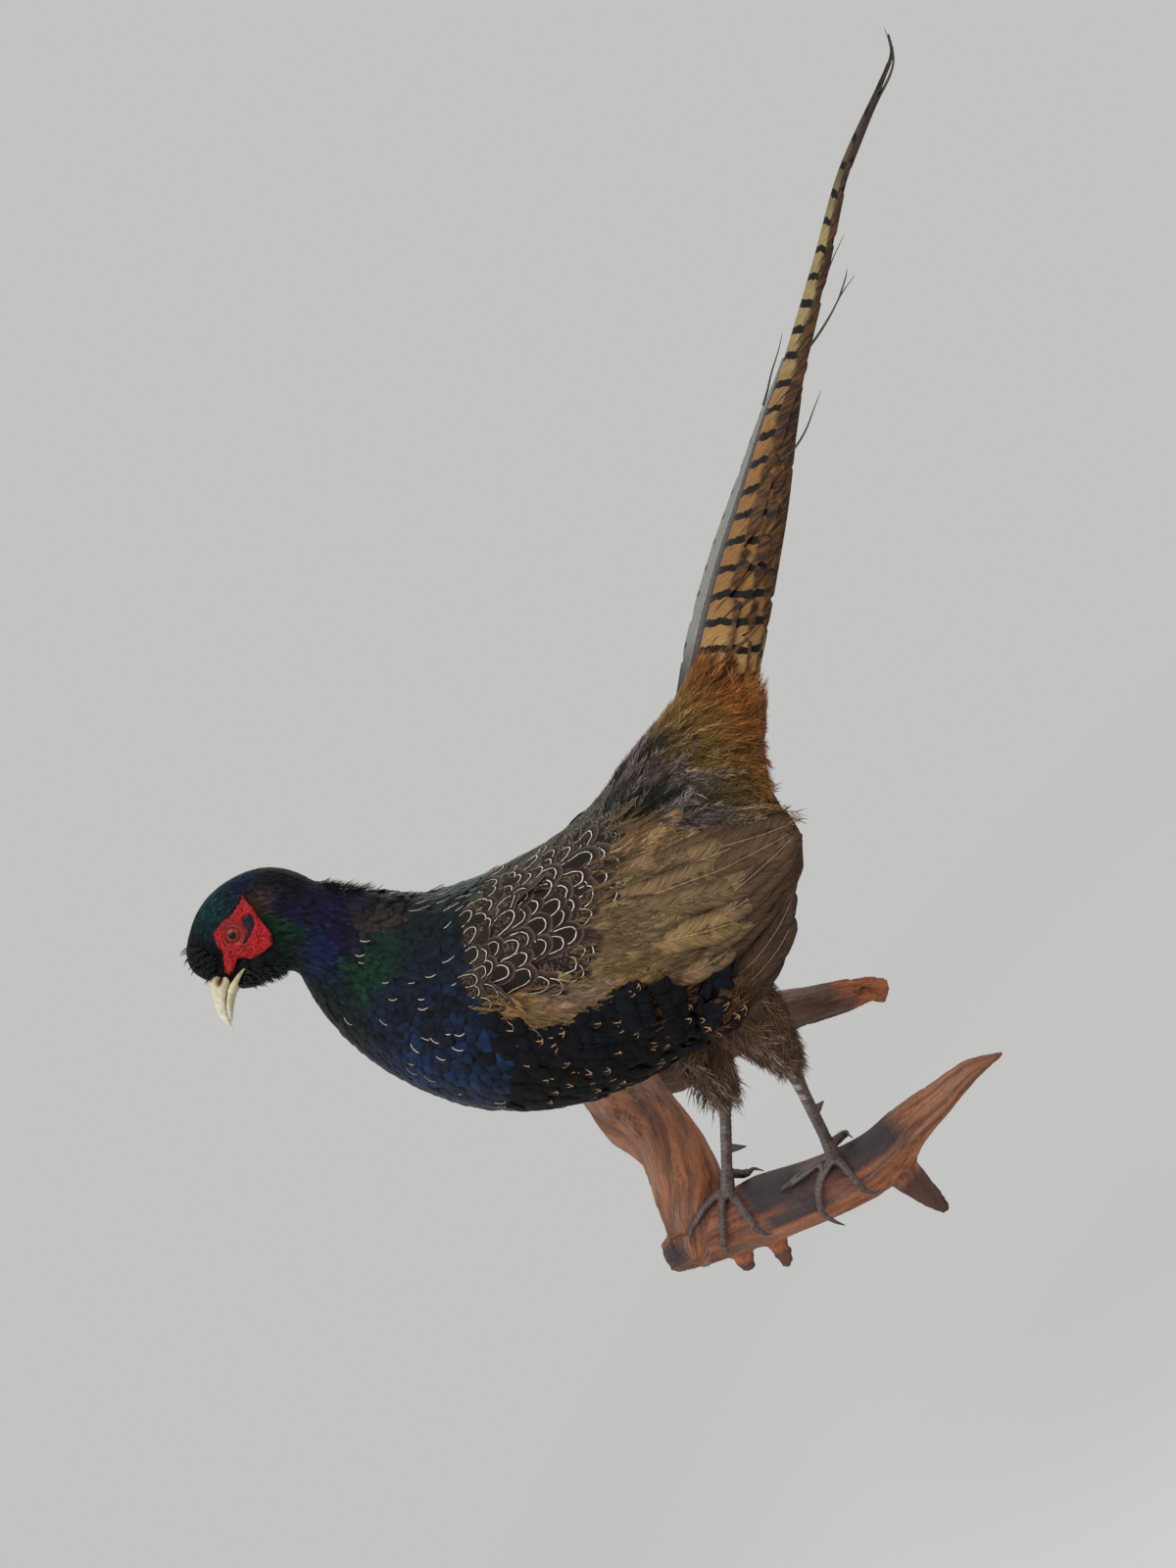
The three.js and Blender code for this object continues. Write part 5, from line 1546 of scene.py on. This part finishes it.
for side in (1, -1):  # the soft corner of the mouth
    corner = np.array([(37, -3.6, 4.6), (34, -3.7, 5.9), (30.5, -4.2, 7.1), (27, -5.0, 8.7), (23.5, -6.1, 9.9),
        (20.5, -7.3, 10.5)])
    line = fromHead(corner[:, 0], corner[:, 2] * side, corner[:, 1]) / mm
    gapeParts.append(strand(line, 1.9, 14, 30, 0.22))
billLower = joinedParts("bill_under", [(underPlaces, tubeFaces(*f.shape))] + gapeParts)
local = headLocal(placesOf(billLower))
setValues(billLower, "hole", np.zeros(len(local)))
setValues(billLower, "reach", (local[:, 0] - 22) / 34)
shadeSmooth(billLower)
horn = Finish("billHorn", Roughness=0.36)
place = horn.place()
reach = horn.attribute("reach", "Fac")
streak = horn.noise(horn.stretched(place, (520, 520, 240)), 1.0, 4, 0.6)
cloud = horn.noise(place, 150, 3, 0.6)
colour = horn.blend(reach.between(0.1, 0.95), rgb(196, 184, 148), rgb(206, 202, 178))
colour = horn.blend(cloud.between(0.45, 0.75) * 0.5, colour, rgb(150, 148, 112))
colour = horn.blend(horn.attribute("hole", "Fac").between(0.0, 0.4), colour, rgb(150, 116, 70))
colour = horn.blend((0.34 - reach).between(0.0, 0.25) * streak.between(0.35, 0.6) * 0.6, colour,
    rgb(120, 92, 58))
# the nostril's groove painted dark as shade
colour = horn.blend(horn.attribute("hole", "Fac").between(0.25, 0.8), colour, rgb(48, 34, 24))
horn.feed("Base Color", horn.shaded(colour, streak, (0.3, 0.84), (0.7, 1.08)))
horn.feed("Roughness", streak * 0.2 + 0.3)
horn.bump(streak, 0.35, 0.0004)
wear(billUpper, horn, "bill_horn", "bill_upper")
wear(billLower, horn, "bill_horn", "bill_lower")

print("eyes and wattles")
eyePlan = {"radius": 5.9, "place": (5.6, 12.9, 4.3), "pupil": 21, "iris": 47}
iris = Finish("eyeGlass", Roughness=0.3, shine=0.1, Coat_Weight=0.22, Coat_Roughness=0.06)
angle = iris.attribute("gaze", "Fac")
spokes = iris.noise(iris.stretched(iris.attribute("spoke", "Vector"), (9, 9, 9)), 1.0, 3, 0.7)
colour = iris.blend((angle - 20).between(0.0, 26), rgb(130, 46, 26), rgb(104, 24, 16))
colour = iris.shaded(colour, spokes, (0.3, 0.6), (0.7, 1.3))
colour = iris.blend((angle - 20).between(0.0, 3.0), (0.004, 0.004, 0.005), colour)
colour = iris.blend((angle - 44).between(0.0, 8), colour, rgb(46, 12, 8))
iris.feed("Base Color", colour)
lidPieces = []
for word, side in (("left", 1), ("right", -1)):
    middle = fromHead(eyePlan["place"][0], side * eyePlan["place"][1], eyePlan["place"][2])
    gaze = unit(0.10 * headFrame["forward"] + side * headFrame["left"] + 0.02 * headFrame["up"])
    bpy.ops.mesh.primitive_uv_sphere_add(segments=96, ring_count=64, radius=eyePlan["radius"] * mm,
        location=(0, 0, 0))
    eye = bpy.context.object
    eye.name = f"eyeball_{word}"
    points = placesOf(eye)
    turnTo = np.array(Vector((0, 0, 1)).rotation_difference(Vector(gaze)).to_matrix())
    directions = unit(points)
    setPlaces(eye, points @ turnTo.T + middle)
    setValues(eye, "gaze", np.degrees(np.arccos(np.clip(directions[:, 2], -1, 1))))
    ring = unit(directions[:, :2] + 1e-9)
    setVectors(eye, "spoke", np.column_stack([ring, directions[:, 2]]))
    shadeSmooth(eye)
    wear(eye, iris, "eye_glass", f"eye_{word}")

    # the lids: two soft rings round the opening, set on the ball
    acrossAxis = unit(np.cross(headFrame["up"], gaze))
    upAxis = np.cross(gaze, acrossAxis)
    turns, thickness = np.linspace(0, 2 * math.pi, 96, endpoint=False), np.arange(16) * 2 * math.pi / 16
    parts = []
    for ringRadius, thick, out in ((4.75, 0.6, 3.75), (5.75, 0.5, 4.3), (6.9, 0.42, 4.85)):
        wave = 1 + 0.03 * np.sin(turns * 2 + ringRadius) + 0.012 * np.sin(turns * 17 + ringRadius * 3)
        spoke = np.cos(turns)[:, None] * acrossAxis * 1.06 + np.sin(turns)[:, None] * upAxis * 0.96
        centreLine = middle / mm + gaze * out + spoke * (ringRadius * wave)[:, None]
        size = thick * (1 + 0.10 * np.sin(turns * 23 + ringRadius * 5))[:, None, None]
        tube = (
            centreLine[:, None] + size * (np.cos(thickness)[:, None] * spoke[:, None]
            + np.sin(thickness)[:, None] * gaze)
        )
        i, j = np.meshgrid(np.arange(96), np.arange(16), indexing="ij")
        a, b = i * 16 + j, i * 16 + (j + 1) % 16
        c, d = (i + 1) % 96 * 16 + (j + 1) % 16, (i + 1) % 96 * 16 + j
        walls = np.stack([a, d, c, b] if side > 0 else [a, b, c, d], -1).reshape(-1, 4)
        parts.append((tube.reshape(-1, 3), [walls]))
    lid = joinedParts(f"eyelid_{word}", parts)
    edited(lid, bpy.ops.mesh.normals_make_consistent, inside=False)
    shadeSmooth(lid)
    lidPieces.append(lid)
lidFinish = Finish("eyelidSkin", Roughness=0.5)
crease = lidFinish.noise(lidFinish.place(), 900, 3, 0.6)
lidFinish.feed("Base Color", lidFinish.ramp(crease, (0.3, rgb(100, 6, 9)), (0.7, rgb(160, 22, 24))))
lidFinish.bump(crease, 0.5, 0.0003)
for lid in lidPieces:
    wear(lid, lidFinish, "wattle_skin")

wattleFinish = Finish("wattleSkin", Roughness=0.6, shine=0.25)
pimple = wattleFinish.attribute("pimple", "Fac")
grainAndGlint = wattleFinish.noise(wattleFinish.place(), 1400, 2, 0.6)
# painted shade and light: the bumps' tops lighter, the hollows between them darker red
colour = wattleFinish.blend(pimple.between(0.05, 0.8), rgb(92, 1, 6), rgb(180, 9, 18))
# painted highlight: bright orange-red specks over the skin, from the same fine noise as the bump
colour = wattleFinish.blend(grainAndGlint.between(0.5, 0.75) * 0.35, colour, rgb(222, 70, 58))
colour = wattleFinish.blend(wattleFinish.attribute("dark", "Fac"), colour, rgb(10, 12, 20))
wattleFinish.feed("Base Color", colour)
wattleFinish.bump(grainAndGlint, 0.3, 0.0002)
earPatch = [  # the dark feathered patch behind and below the eye
    (-3.8, 2.4), (-6.3, 1.4), (-8.5, -0.6), (-7.2, -3.2), (-3.5, -5.0), (0.1, -4.8), (3.7, -4.6), (7.0, -3.6),
    (8.8, -1.9), (6.0, -2.3), (3.1, -2.7), (0.1, -1.4), (-1.6, 0.8),
]
for word, side in (("left", 1), ("right", -1)):
    wattle = oneForm(f"wattle_skin_{word}", [f"wattle_{word}"], 0.0003, 0.00055, 3)
    points = placesOf(wattle)
    local = headLocal(points)
    cells = np.array([noise.voronoi(Vector(p) * 760, distance_metric="DISTANCE", exponent=2.5)[0][:2]
        for p in points])
    edge = cells[:, 1] - cells[:, 0]
    bead = smooth(0.0, 0.42, edge)
    dark = smooth(-0.7, 0.5, insideBy(earPatch, local[:, 0], local[:, 2]) + wobble(points, 0.002) * 0.5)
    eyeGap = np.hypot(local[:, 0] - eyePlan["place"][0], local[:, 2] - eyePlan["place"][2])
    # the edge sinks raggedly under the feathers
    inset = insideBy(wattleEdge, local[:, 0], local[:, 2]) + wobble(points, 0.0016) * 0.8
    sunk = 1.5 * smooth(1.5, 0.1, inset)
    fold = (
        0.35 * np.sin(local[:, 2] * 0.7 + local[:, 0] * 0.35 + wobble(points, 0.006) * 1.5)
        * smooth(9, 12, eyeGap)
    )
    rise = (bead - 0.55) * 0.42 * (1 - dark * 0.8) + fold - dark * 1.1 - sunk
    setPlaces(wattle, points + normalsOf(wattle) * rise[:, None] * mm)
    local = headLocal(placesOf(wattle))
    brim = 16.7 + np.maximum(eyeGap - 4.6, 0) * 0.62
    flat = (
        np.where(eyeGap < 9, np.minimum(np.abs(local[:, 1]), np.maximum(brim, 12)), np.abs(local[:, 1]))
        * np.sign(local[:, 1])
    )
    setPlaces(wattle, fromHead(local[:, 0], flat, local[:, 2]))
    setValues(wattle, "pimple", bead)
    setValues(wattle, "dark", dark)
    shadeSmooth(wattle)
    wear(wattle, wattleFinish, "wattle_skin", f"wattle_{word}")

print("legs")
perch = np.array([
    (-31, -178, -49, 10), (-14, -180, -52, 15), (10, -182, -60, 18), (34, -183, -70, 20.5),
    (61, -184, -84, 19), (88, -184, -95, 17.5), (108, -184, -98.5, 16), (127, -184, -98, 13),
    (151, -186, -100, 10), (175, -188, -100.5, 6.8), (195, -190, -107, 1.5),
])
legTable = {
    "right": {
        "hock": (73, -186, -3), "foot": (28, -189, -43), "spur": (0.56, (0.64, 0.1, -0.76), 13),
        "toes": {
            "inner": (1, [(29, 22), (29.5, 51), (27, 81)], (30, 104, 0.9)),
            "middle": (1, [(24, 20), (15, 56), (6, 88)], (3, 112, 0.9)),
            "outer": (1, [(20, 11), (10, 24), (-2, 42)], (-9, 66, 0.9)),
            "hind": (0.8, [(37, -26), (40, -31)], (47, -30, 1.5)),
        },
    },
    "left": {
        "hock": (119, -232, -8), "foot": (86, -192, -75), "spur": (0.46, (0.95, 0.1, -0.25), 9),
        "toes": {
            "inner": (1, [(80, 24), (69, 31), (59, 39)], (50, 46, 0.9)),
            "middle": (1, [(80, 36), (68, 62), (61, 88), (59, 104)], (63, 119, 9)),
            "outer": (1, [(87, 42), (86, 66), (85, 92)], (90, 116, 0.9)),
            "hind": (0.86, [(95, -14), (98, -16)], (100, 4, 1)),
        },
    },
}


def onPerch(x, angle, lift):
    y, z, radius = (np.interp(x, perch[:, 0], perch[:, k]) for k in (1, 2, 3))
    a = math.radians(angle)
    return np.array([x, y - (radius + lift) * math.sin(a),
        z + (radius + lift) * math.cos(a) / math.cos(math.radians(22))])


scutes = Finish("legScutes", Roughness=0.55)
scute = scutes.attribute("scute", "Fac")
pale = scutes.attribute("pale", "Fac")
mottle = scutes.noise(scutes.place(), 260, 3, 0.65)
fine = scutes.noise(scutes.place(), 1100, 2, 0.6)
colour = scutes.blend(mottle.between(0.35, 0.65), rgb(56, 42, 37), rgb(94, 74, 65))
# front greys the shank's front strip, its own colour, and lightens the toes' upper faces as painted light from
# above
colour = scutes.blend(scutes.attribute("front", "Fac") * 0.6, colour, rgb(104, 97, 97))
colour = scutes.blend(pale * 0.8, colour, rgb(168, 158, 148))
colour = scutes.blend((0.5 - scute).between(0.0, 0.35) * 0.75, colour, rgb(30, 25, 23))
scutes.feed("Base Color", scutes.shaded(colour, fine, (0.3, 0.8), (0.7, 1.15)))
scutes.bump(fine, 0.4, 0.0003)
clawFinish = Finish("clawHorn", Roughness=0.38)
lines = clawFinish.noise(clawFinish.stretched(clawFinish.place(), (300, 300, 900)), 1.0, 3, 0.6)
clawFinish.feed("Base Color", clawFinish.ramp(lines, (0.3, rgb(34, 28, 26)), (0.7, rgb(84, 72, 64))))
clawFinish.bump(lines, 0.3, 0.0002)
for word, leg in legTable.items():
    nodes = [f"tarsus_{word}"] + [f"toe_{word}_{toe}" for toe in leg["toes"]]
    hock, foot = np.array(leg["hock"], float), np.array(leg["foot"], float)
    shin = oneForm(f"leg_{word}", nodes, 0.00045, 0.00062, 8)
    points = placesOf(shin) / mm
    normals = normalsOf(shin)
    axis = unit(foot - hock)
    down = (points - hock) @ axis
    shinLong = np.linalg.norm(foot - hock)
    off = points - hock - down[:, None] * axis
    front = unit(np.array([-1.0, -0.35, 0.25]) - axis * (np.array([-1.0, -0.35, 0.25]) @ axis))
    facing = unit(off) @ front
    # toes: distance out from the foot, with plates across the upper side
    toward = np.linalg.norm(points - foot, axis=1)
    onShin = smooth(shinLong + 1.5, shinLong - 3, down)
    plate = np.where(facing > -0.15, down / 3.1 + 0.12 * np.sin(facing * 4), down / 2.2)
    toePlate = toward / 2.6
    phase = np.where(onShin > 0.5, plate, toePlate)
    saw = phase - np.floor(phase)
    ridge = smooth(0.0, 0.22, saw) * smooth(1.0, 0.86, saw)
    upper = np.where(onShin > 0.5, smooth(-0.4, 0.2, facing), smooth(-0.3, 0.3, normals[:, 2]))
    beadGaps = np.array([noise.voronoi(Vector(p) * 0.75, distance_metric="DISTANCE", exponent=2.5)[0][:2]
        for p in points])
    beads = smooth(0.0, 0.35, beadGaps[:, 1] - beadGaps[:, 0])
    relief = ridge * upper + beads * (1 - upper)
    joint = np.exp(-((toward - 14) / 3.0) ** 2) + np.exp(-((toward - 27) / 3.0) ** 2)
    rise = (
        (relief - 0.75) * 0.42 - 0.25 * joint * (1 - onShin) - 0.55 * onShin
        - 0.5 * (1 - onShin) * smooth(1, 8, toward)
    )
    setPlaces(shin, (points + normals * rise[:, None]) * mm)
    setValues(shin, "scute", relief)
    white = (
        smooth(0.1, 0.5, facing) * onShin * smooth(0.35, 0.7, np.sin(down * 0.61 + 1.2) * 0.5 + 0.5)
        * smooth(40, 16, down)
    )
    toes = smooth(shinLong - 4, shinLong + 4, down)
    # front: the grey strip down the shank's front, and on the toes more on upward faces, which is painted light
    # from above
    setValues(shin, "front", np.clip(smooth(0.35, 0.9, facing) * (1 - toes)
        + toes * 0.45 * (0.5 + 0.5 * normals[:, 2]), 0, 1))
    setValues(shin, "pale", np.clip(white * (1.0 if word == "left" else 0.35), 0, 1))
    shadeSmooth(shin)
    wear(shin, scutes, "leg_scutes", *nodes)
    for toe, (root, path, tip) in leg["toes"].items():
        (rootX, rootAngle), (tipX, tipAngle, tipLift) = path[-1], tip
        start = onPerch(rootX, rootAngle, 3.4)
        knuckle = onPerch((rootX + tipX) / 2, (rootAngle + tipAngle) / 2, 4 + tipLift / 3)
        end = onPerch(tipX, tipAngle, tipLift)
        back = start + (start - knuckle) * 0.12
        claw = joinedParts(f"nail_{word}_{toe}", [strand([back, start, knuckle, end], 1.72, 20, 34, 0.22)])
        shadeSmooth(claw)
        wear(claw, clawFinish, "claw_horn", f"claw_{word}_{toe}")
    share, direction, long = leg["spur"]
    root = hock + (foot - hock) * share
    way = unit(np.array(direction))
    line = [root + way * 1.0, root + way * 3.2, root + way * long * 0.6 + np.array([0, 0, 0.4]),
        root + way * (long - 0.2) + np.array([0, 0, 1.2])]
    spur = joinedParts(f"shank_spur_{word}", [strand(line, 2.8, 20, 30, 0.3)])
    shadeSmooth(spur)
    wear(spur, clawFinish, "claw_horn", f"spur_{word}")

print("driftwood")
wood = oneForm("driftwood_form", ["driftwood"], 0.0, 0.0016, 2)
points = placesOf(wood) / mm
normals = normalsOf(wood)
limbs = [
    perch,
    np.array([
        (-26, -16, 24, 13), (-8, -18, 14, 23), (23, -19, -9, 24), (62, -21, -27, 18.5),
        (100, -23, -45, 15.5), (119, -24, -57, 14), (140, -25, -71, 12.5), (155, -25, -82, 9),
        (163, -25, -92, 3),
    ]),
    np.array([
        (-12, -14, 18, 27), (-9, -55, 14, 29), (1, -98, 3, 26), (12, -138, -14, 22), (5, -164, -36, 24),
        (-9, -181, -51, 18),
    ]),
    np.array([
        (104, -184, -102, 13), (103, -184, -120, 11), (102, -183, -138, 7), (102, -182, -150, 3.5),
    ]),
]
axes = [curve(limb, 160) for limb in limbs]
gaps = np.stack([np.min(np.linalg.norm(points[:, None] - axis[None, ::2, :3], axis=2) - axis[None, ::2, 3],
    axis=1) for axis in axes], 1)
limbOf = gaps.argmin(1)
run = np.zeros(len(points))
turnOf = np.zeros(len(points))
radial = np.zeros(len(points))
allHeadings = np.zeros((len(points), 3))
for number, axis in enumerate(axes):
    chosen = limbOf == number
    steps = np.concatenate([[0], np.cumsum(np.linalg.norm(np.diff(axis[:, :3], axis=0), axis=1))])
    tree = KDTree(len(axis))
    for i, spot in enumerate(axis[:, :3]):
        tree.insert(spot, i)
    tree.balance()
    near = np.array([tree.find(p)[1] for p in points[chosen]], int)
    headings = unit(np.gradient(axis[:, :3], axis=0))[near]
    offset = points[chosen] - axis[near, :3]
    sideways = unit(np.cross(headings, [0.02, 0.05, 1.0]))
    other = np.cross(sideways, headings)
    turnOf[chosen] = np.arctan2((offset * other).sum(1), (offset * sideways).sum(1))
    run[chosen] = steps[near] + (offset * headings).sum(1)
    radial[chosen] = np.linalg.norm(offset, axis=1)
    allHeadings[chosen] = headings
grainPlace = np.column_stack([run * 0.02, np.cos(turnOf) * 1.0 + limbOf * 3.3, np.sin(turnOf) * 1.0])
cut = smooth(0.72, 0.9, np.abs((normals * allHeadings).sum(1)))[:, None]  # rings where a limb is cut across
endGrain = np.column_stack([turnOf * 0.12, radial * 0.13, radial * 0.05 + 5])
grainPlace = np.where(cut > 0.5, endGrain, grainPlace)


def grainNoise(along, across, shift=0):
    return np.array([noise.noise(Vector((a * along + shift, b * across, c * across)))
        for a, b, c in grainPlace])


coarse, furrow = grainNoise(0.9, 2.2), grainNoise(1.2, 6.5)
fineGrain, patches = grainNoise(2.0, 15), grainNoise(1.6, 1.4, 7)
cracks = np.clip(np.abs(furrow) * -9 + 0.9, 0, 1) * smooth(-0.15, 0.25, patches)
seated = smooth(-1.0, -4.0, points[:, 1])
knots = np.zeros(len(points))
for x, y, z, size in ((52, -196, -58, 4), (112, -196, -84, 5), (-2, -120, 20, 6), (70, -10, -20, 6),
        (-20, -188, -62, 5), (8, -80, 30, 5)):
    knots = np.maximum(knots, smooth(size, size * 0.3, np.linalg.norm(points - np.array([x, y, z]), axis=1)))
footGap = np.full(len(points), 99.0)
for leg in legTable.values():
    for root, path, tip in leg["toes"].values():
        for x, angle in path + [tip[:2]]:
            footGap = np.minimum(footGap, np.linalg.norm(points - onPerch(x, angle, 0), axis=1))
clear = smooth(3, 9, footGap)
heightChange = -0.4 + 1.5 * coarse - 1.1 * cracks + 0.35 * fineGrain - 1.6 * knots
rise = np.minimum(heightChange, 0.9) * seated * (0.25 + 0.75 * clear)
setPlaces(wood, (points + normals * rise[:, None]) * mm)
setValues(wood, "furrow", cracks * 0.7 + knots * 0.8)
setVectors(wood, "grain", grainPlace)
points = placesOf(wood) / mm
armEnd = axes[1][-1, :3]
outward = unit(points - allHeadings * ((points - armEnd) * allHeadings).sum(1, keepdims=True) - armEnd + 1e-6)
blunt = smooth(148, 158, points[:, 0]) * (limbOf == 1) * np.clip(radial / 4, 0, 1)
# the arm is broken off short, not worn to a point
points = points + outward * (np.clip(9.5 - radial, 0, 5) * blunt)[:, None]
breaks = np.column_stack([np.cos(turnOf), np.sin(turnOf)]) * radial[:, None]
breaks = np.array([noise.noise(Vector((a * 0.16, b * 0.16, 2.0)))
    + 0.9 * noise.noise(Vector((a * 0.5, b * 0.5, 6.0))) for a, b in breaks])
torn = smooth(146, 158, points[:, 0]) * (limbOf == 1) * np.clip(0.35 + breaks * 1.4, 0, 1) * 11
splits = np.array([noise.noise(Vector((math.cos(t) * 4.2, math.sin(t) * 4.2, r * 0.03)))
    for t, r in zip(turnOf, run)])
groove = smooth(0.0, 0.35, splits) * smooth(138, 148, points[:, 0]) * (limbOf == 1)
points = points - allHeadings * torn[:, None] - outward * (1.8 * groove)[:, None]
setPlaces(wood, points * mm)
# pale weathered grey in noisy patches, and more of it on upward faces, which is painted light from above
grey = (
    smooth(-0.1, 0.5, coarse) * 0.5 + smooth(0.0, -0.35, patches) * 0.4 + smooth(0.2, 0.9, normals[:, 2]) * 0.35
)
# a dark blue-black patch on the perch: round one spot, along the perch's top where the bird stands, and near
# the perch's tip
fromDarkSpot = np.linalg.norm((points - np.array([44, -200, -58])) / np.array([1.3, 1, 0.8]), axis=1)
bluishDark = smooth(24, 8, fromDarkSpot + 5 * furrow)
along = np.interp(points[:, 0], [26, 36, 62, 72, 84, 118, 130], [0, 1, 1, 0.5, 1, 1, 0]) * (limbOf == 0)
upperSide = smooth(0.15, 0.6, normals[:, 2] - 0.3 * normals[:, 1] + 0.5 * coarse + 0.3 * furrow)
bluishDark = np.maximum(bluishDark * 0.5, along * upperSide * 0.95)
fromTip = np.linalg.norm(points - np.array([-24, -190, -44]), axis=1)
bluishDark = np.maximum(bluishDark, smooth(13, 4, fromTip + 4 * furrow))
fresh = (
    smooth(138, 146, points[:, 0] + 9 * furrow + 7 * breaks) * (limbOf == 1)
    * (0.7 + 0.3 * smooth(0.3, -0.2, breaks)) * (1 - 0.75 * groove)
)
stub = (
    smooth(2.5, 6, gaps[:, 0]) * ((limbOf == 0) | (limbOf == 3))
    * (points[:, 2] < np.interp(points[:, 0], perch[:, 0], perch[:, 2]))
)
grey = grey * (1 - stub)
# four masks: pale grey, partly painted light on upward faces; the dark blue-black patch; the fresh broken end;
# and dark brown, which is painted shade over the broken arm that lies back by the wall and also darkens the
# stub below the perch
setValues(wood, "wear", np.column_stack([grey, bluishDark, fresh, np.maximum((limbOf == 1) * (1 - fresh), stub)]))
shadeSmooth(wood)
timber = Finish("driftwoodGrain", Roughness=0.75)
grain = timber.attribute("grain", "Vector")
woodMasks = timber.attribute("wear")
streaks = timber.noise(timber.stretched(grain, (2.6, 22, 22)), 1.0, 5, 0.7)
broad = timber.noise(timber.stretched(grain, (0.7, 2.2, 2.2)), 1.3, 3, 0.6)
colour = timber.blend(broad.between(0.35, 0.68), rgb(96, 53, 34), rgb(178, 106, 62))
# dark brown: painted shade over the broken arm by the wall, and the stub below the perch darker too
colour = timber.blend(timber.attribute("wear", "Alpha") * 0.85, colour, rgb(66, 41, 34))
# pale grey streaks, partly painted light on upward faces
colour = timber.blend(timber.part(woodMasks, 0) * streaks.between(0.35, 0.6) * 0.75, colour, rgb(146, 122, 106))
colour = timber.blend(timber.part(woodMasks, 2) * 0.85, colour, rgb(178, 98, 52))
colour = timber.shaded(colour, streaks, (0.28, 0.68), (0.5, 0.97), (0.72, 1.16))
colour = timber.blend(timber.attribute("furrow", "Fac").between(0.0, 0.6) * 0.42, colour, rgb(38, 23, 16))
# the dark blue-black patch on the perch's top
colour = timber.blend(timber.part(woodMasks, 1) * streaks.between(0.1, 0.42) * 0.92, colour, rgb(33, 35, 44))
pits = timber.noise(timber.place(), 300, 4, 0.75)
colour = timber.shaded(colour, pits, (0.32, 0.72), (0.55, 1.04))
timber.feed("Base Color", colour)
timber.feed("Roughness", streaks * 0.25 + 0.6)
timber.bump(streaks + pits * 0.5, 0.7, 0.0012)
wear(wood, timber, "driftwood", "driftwood")
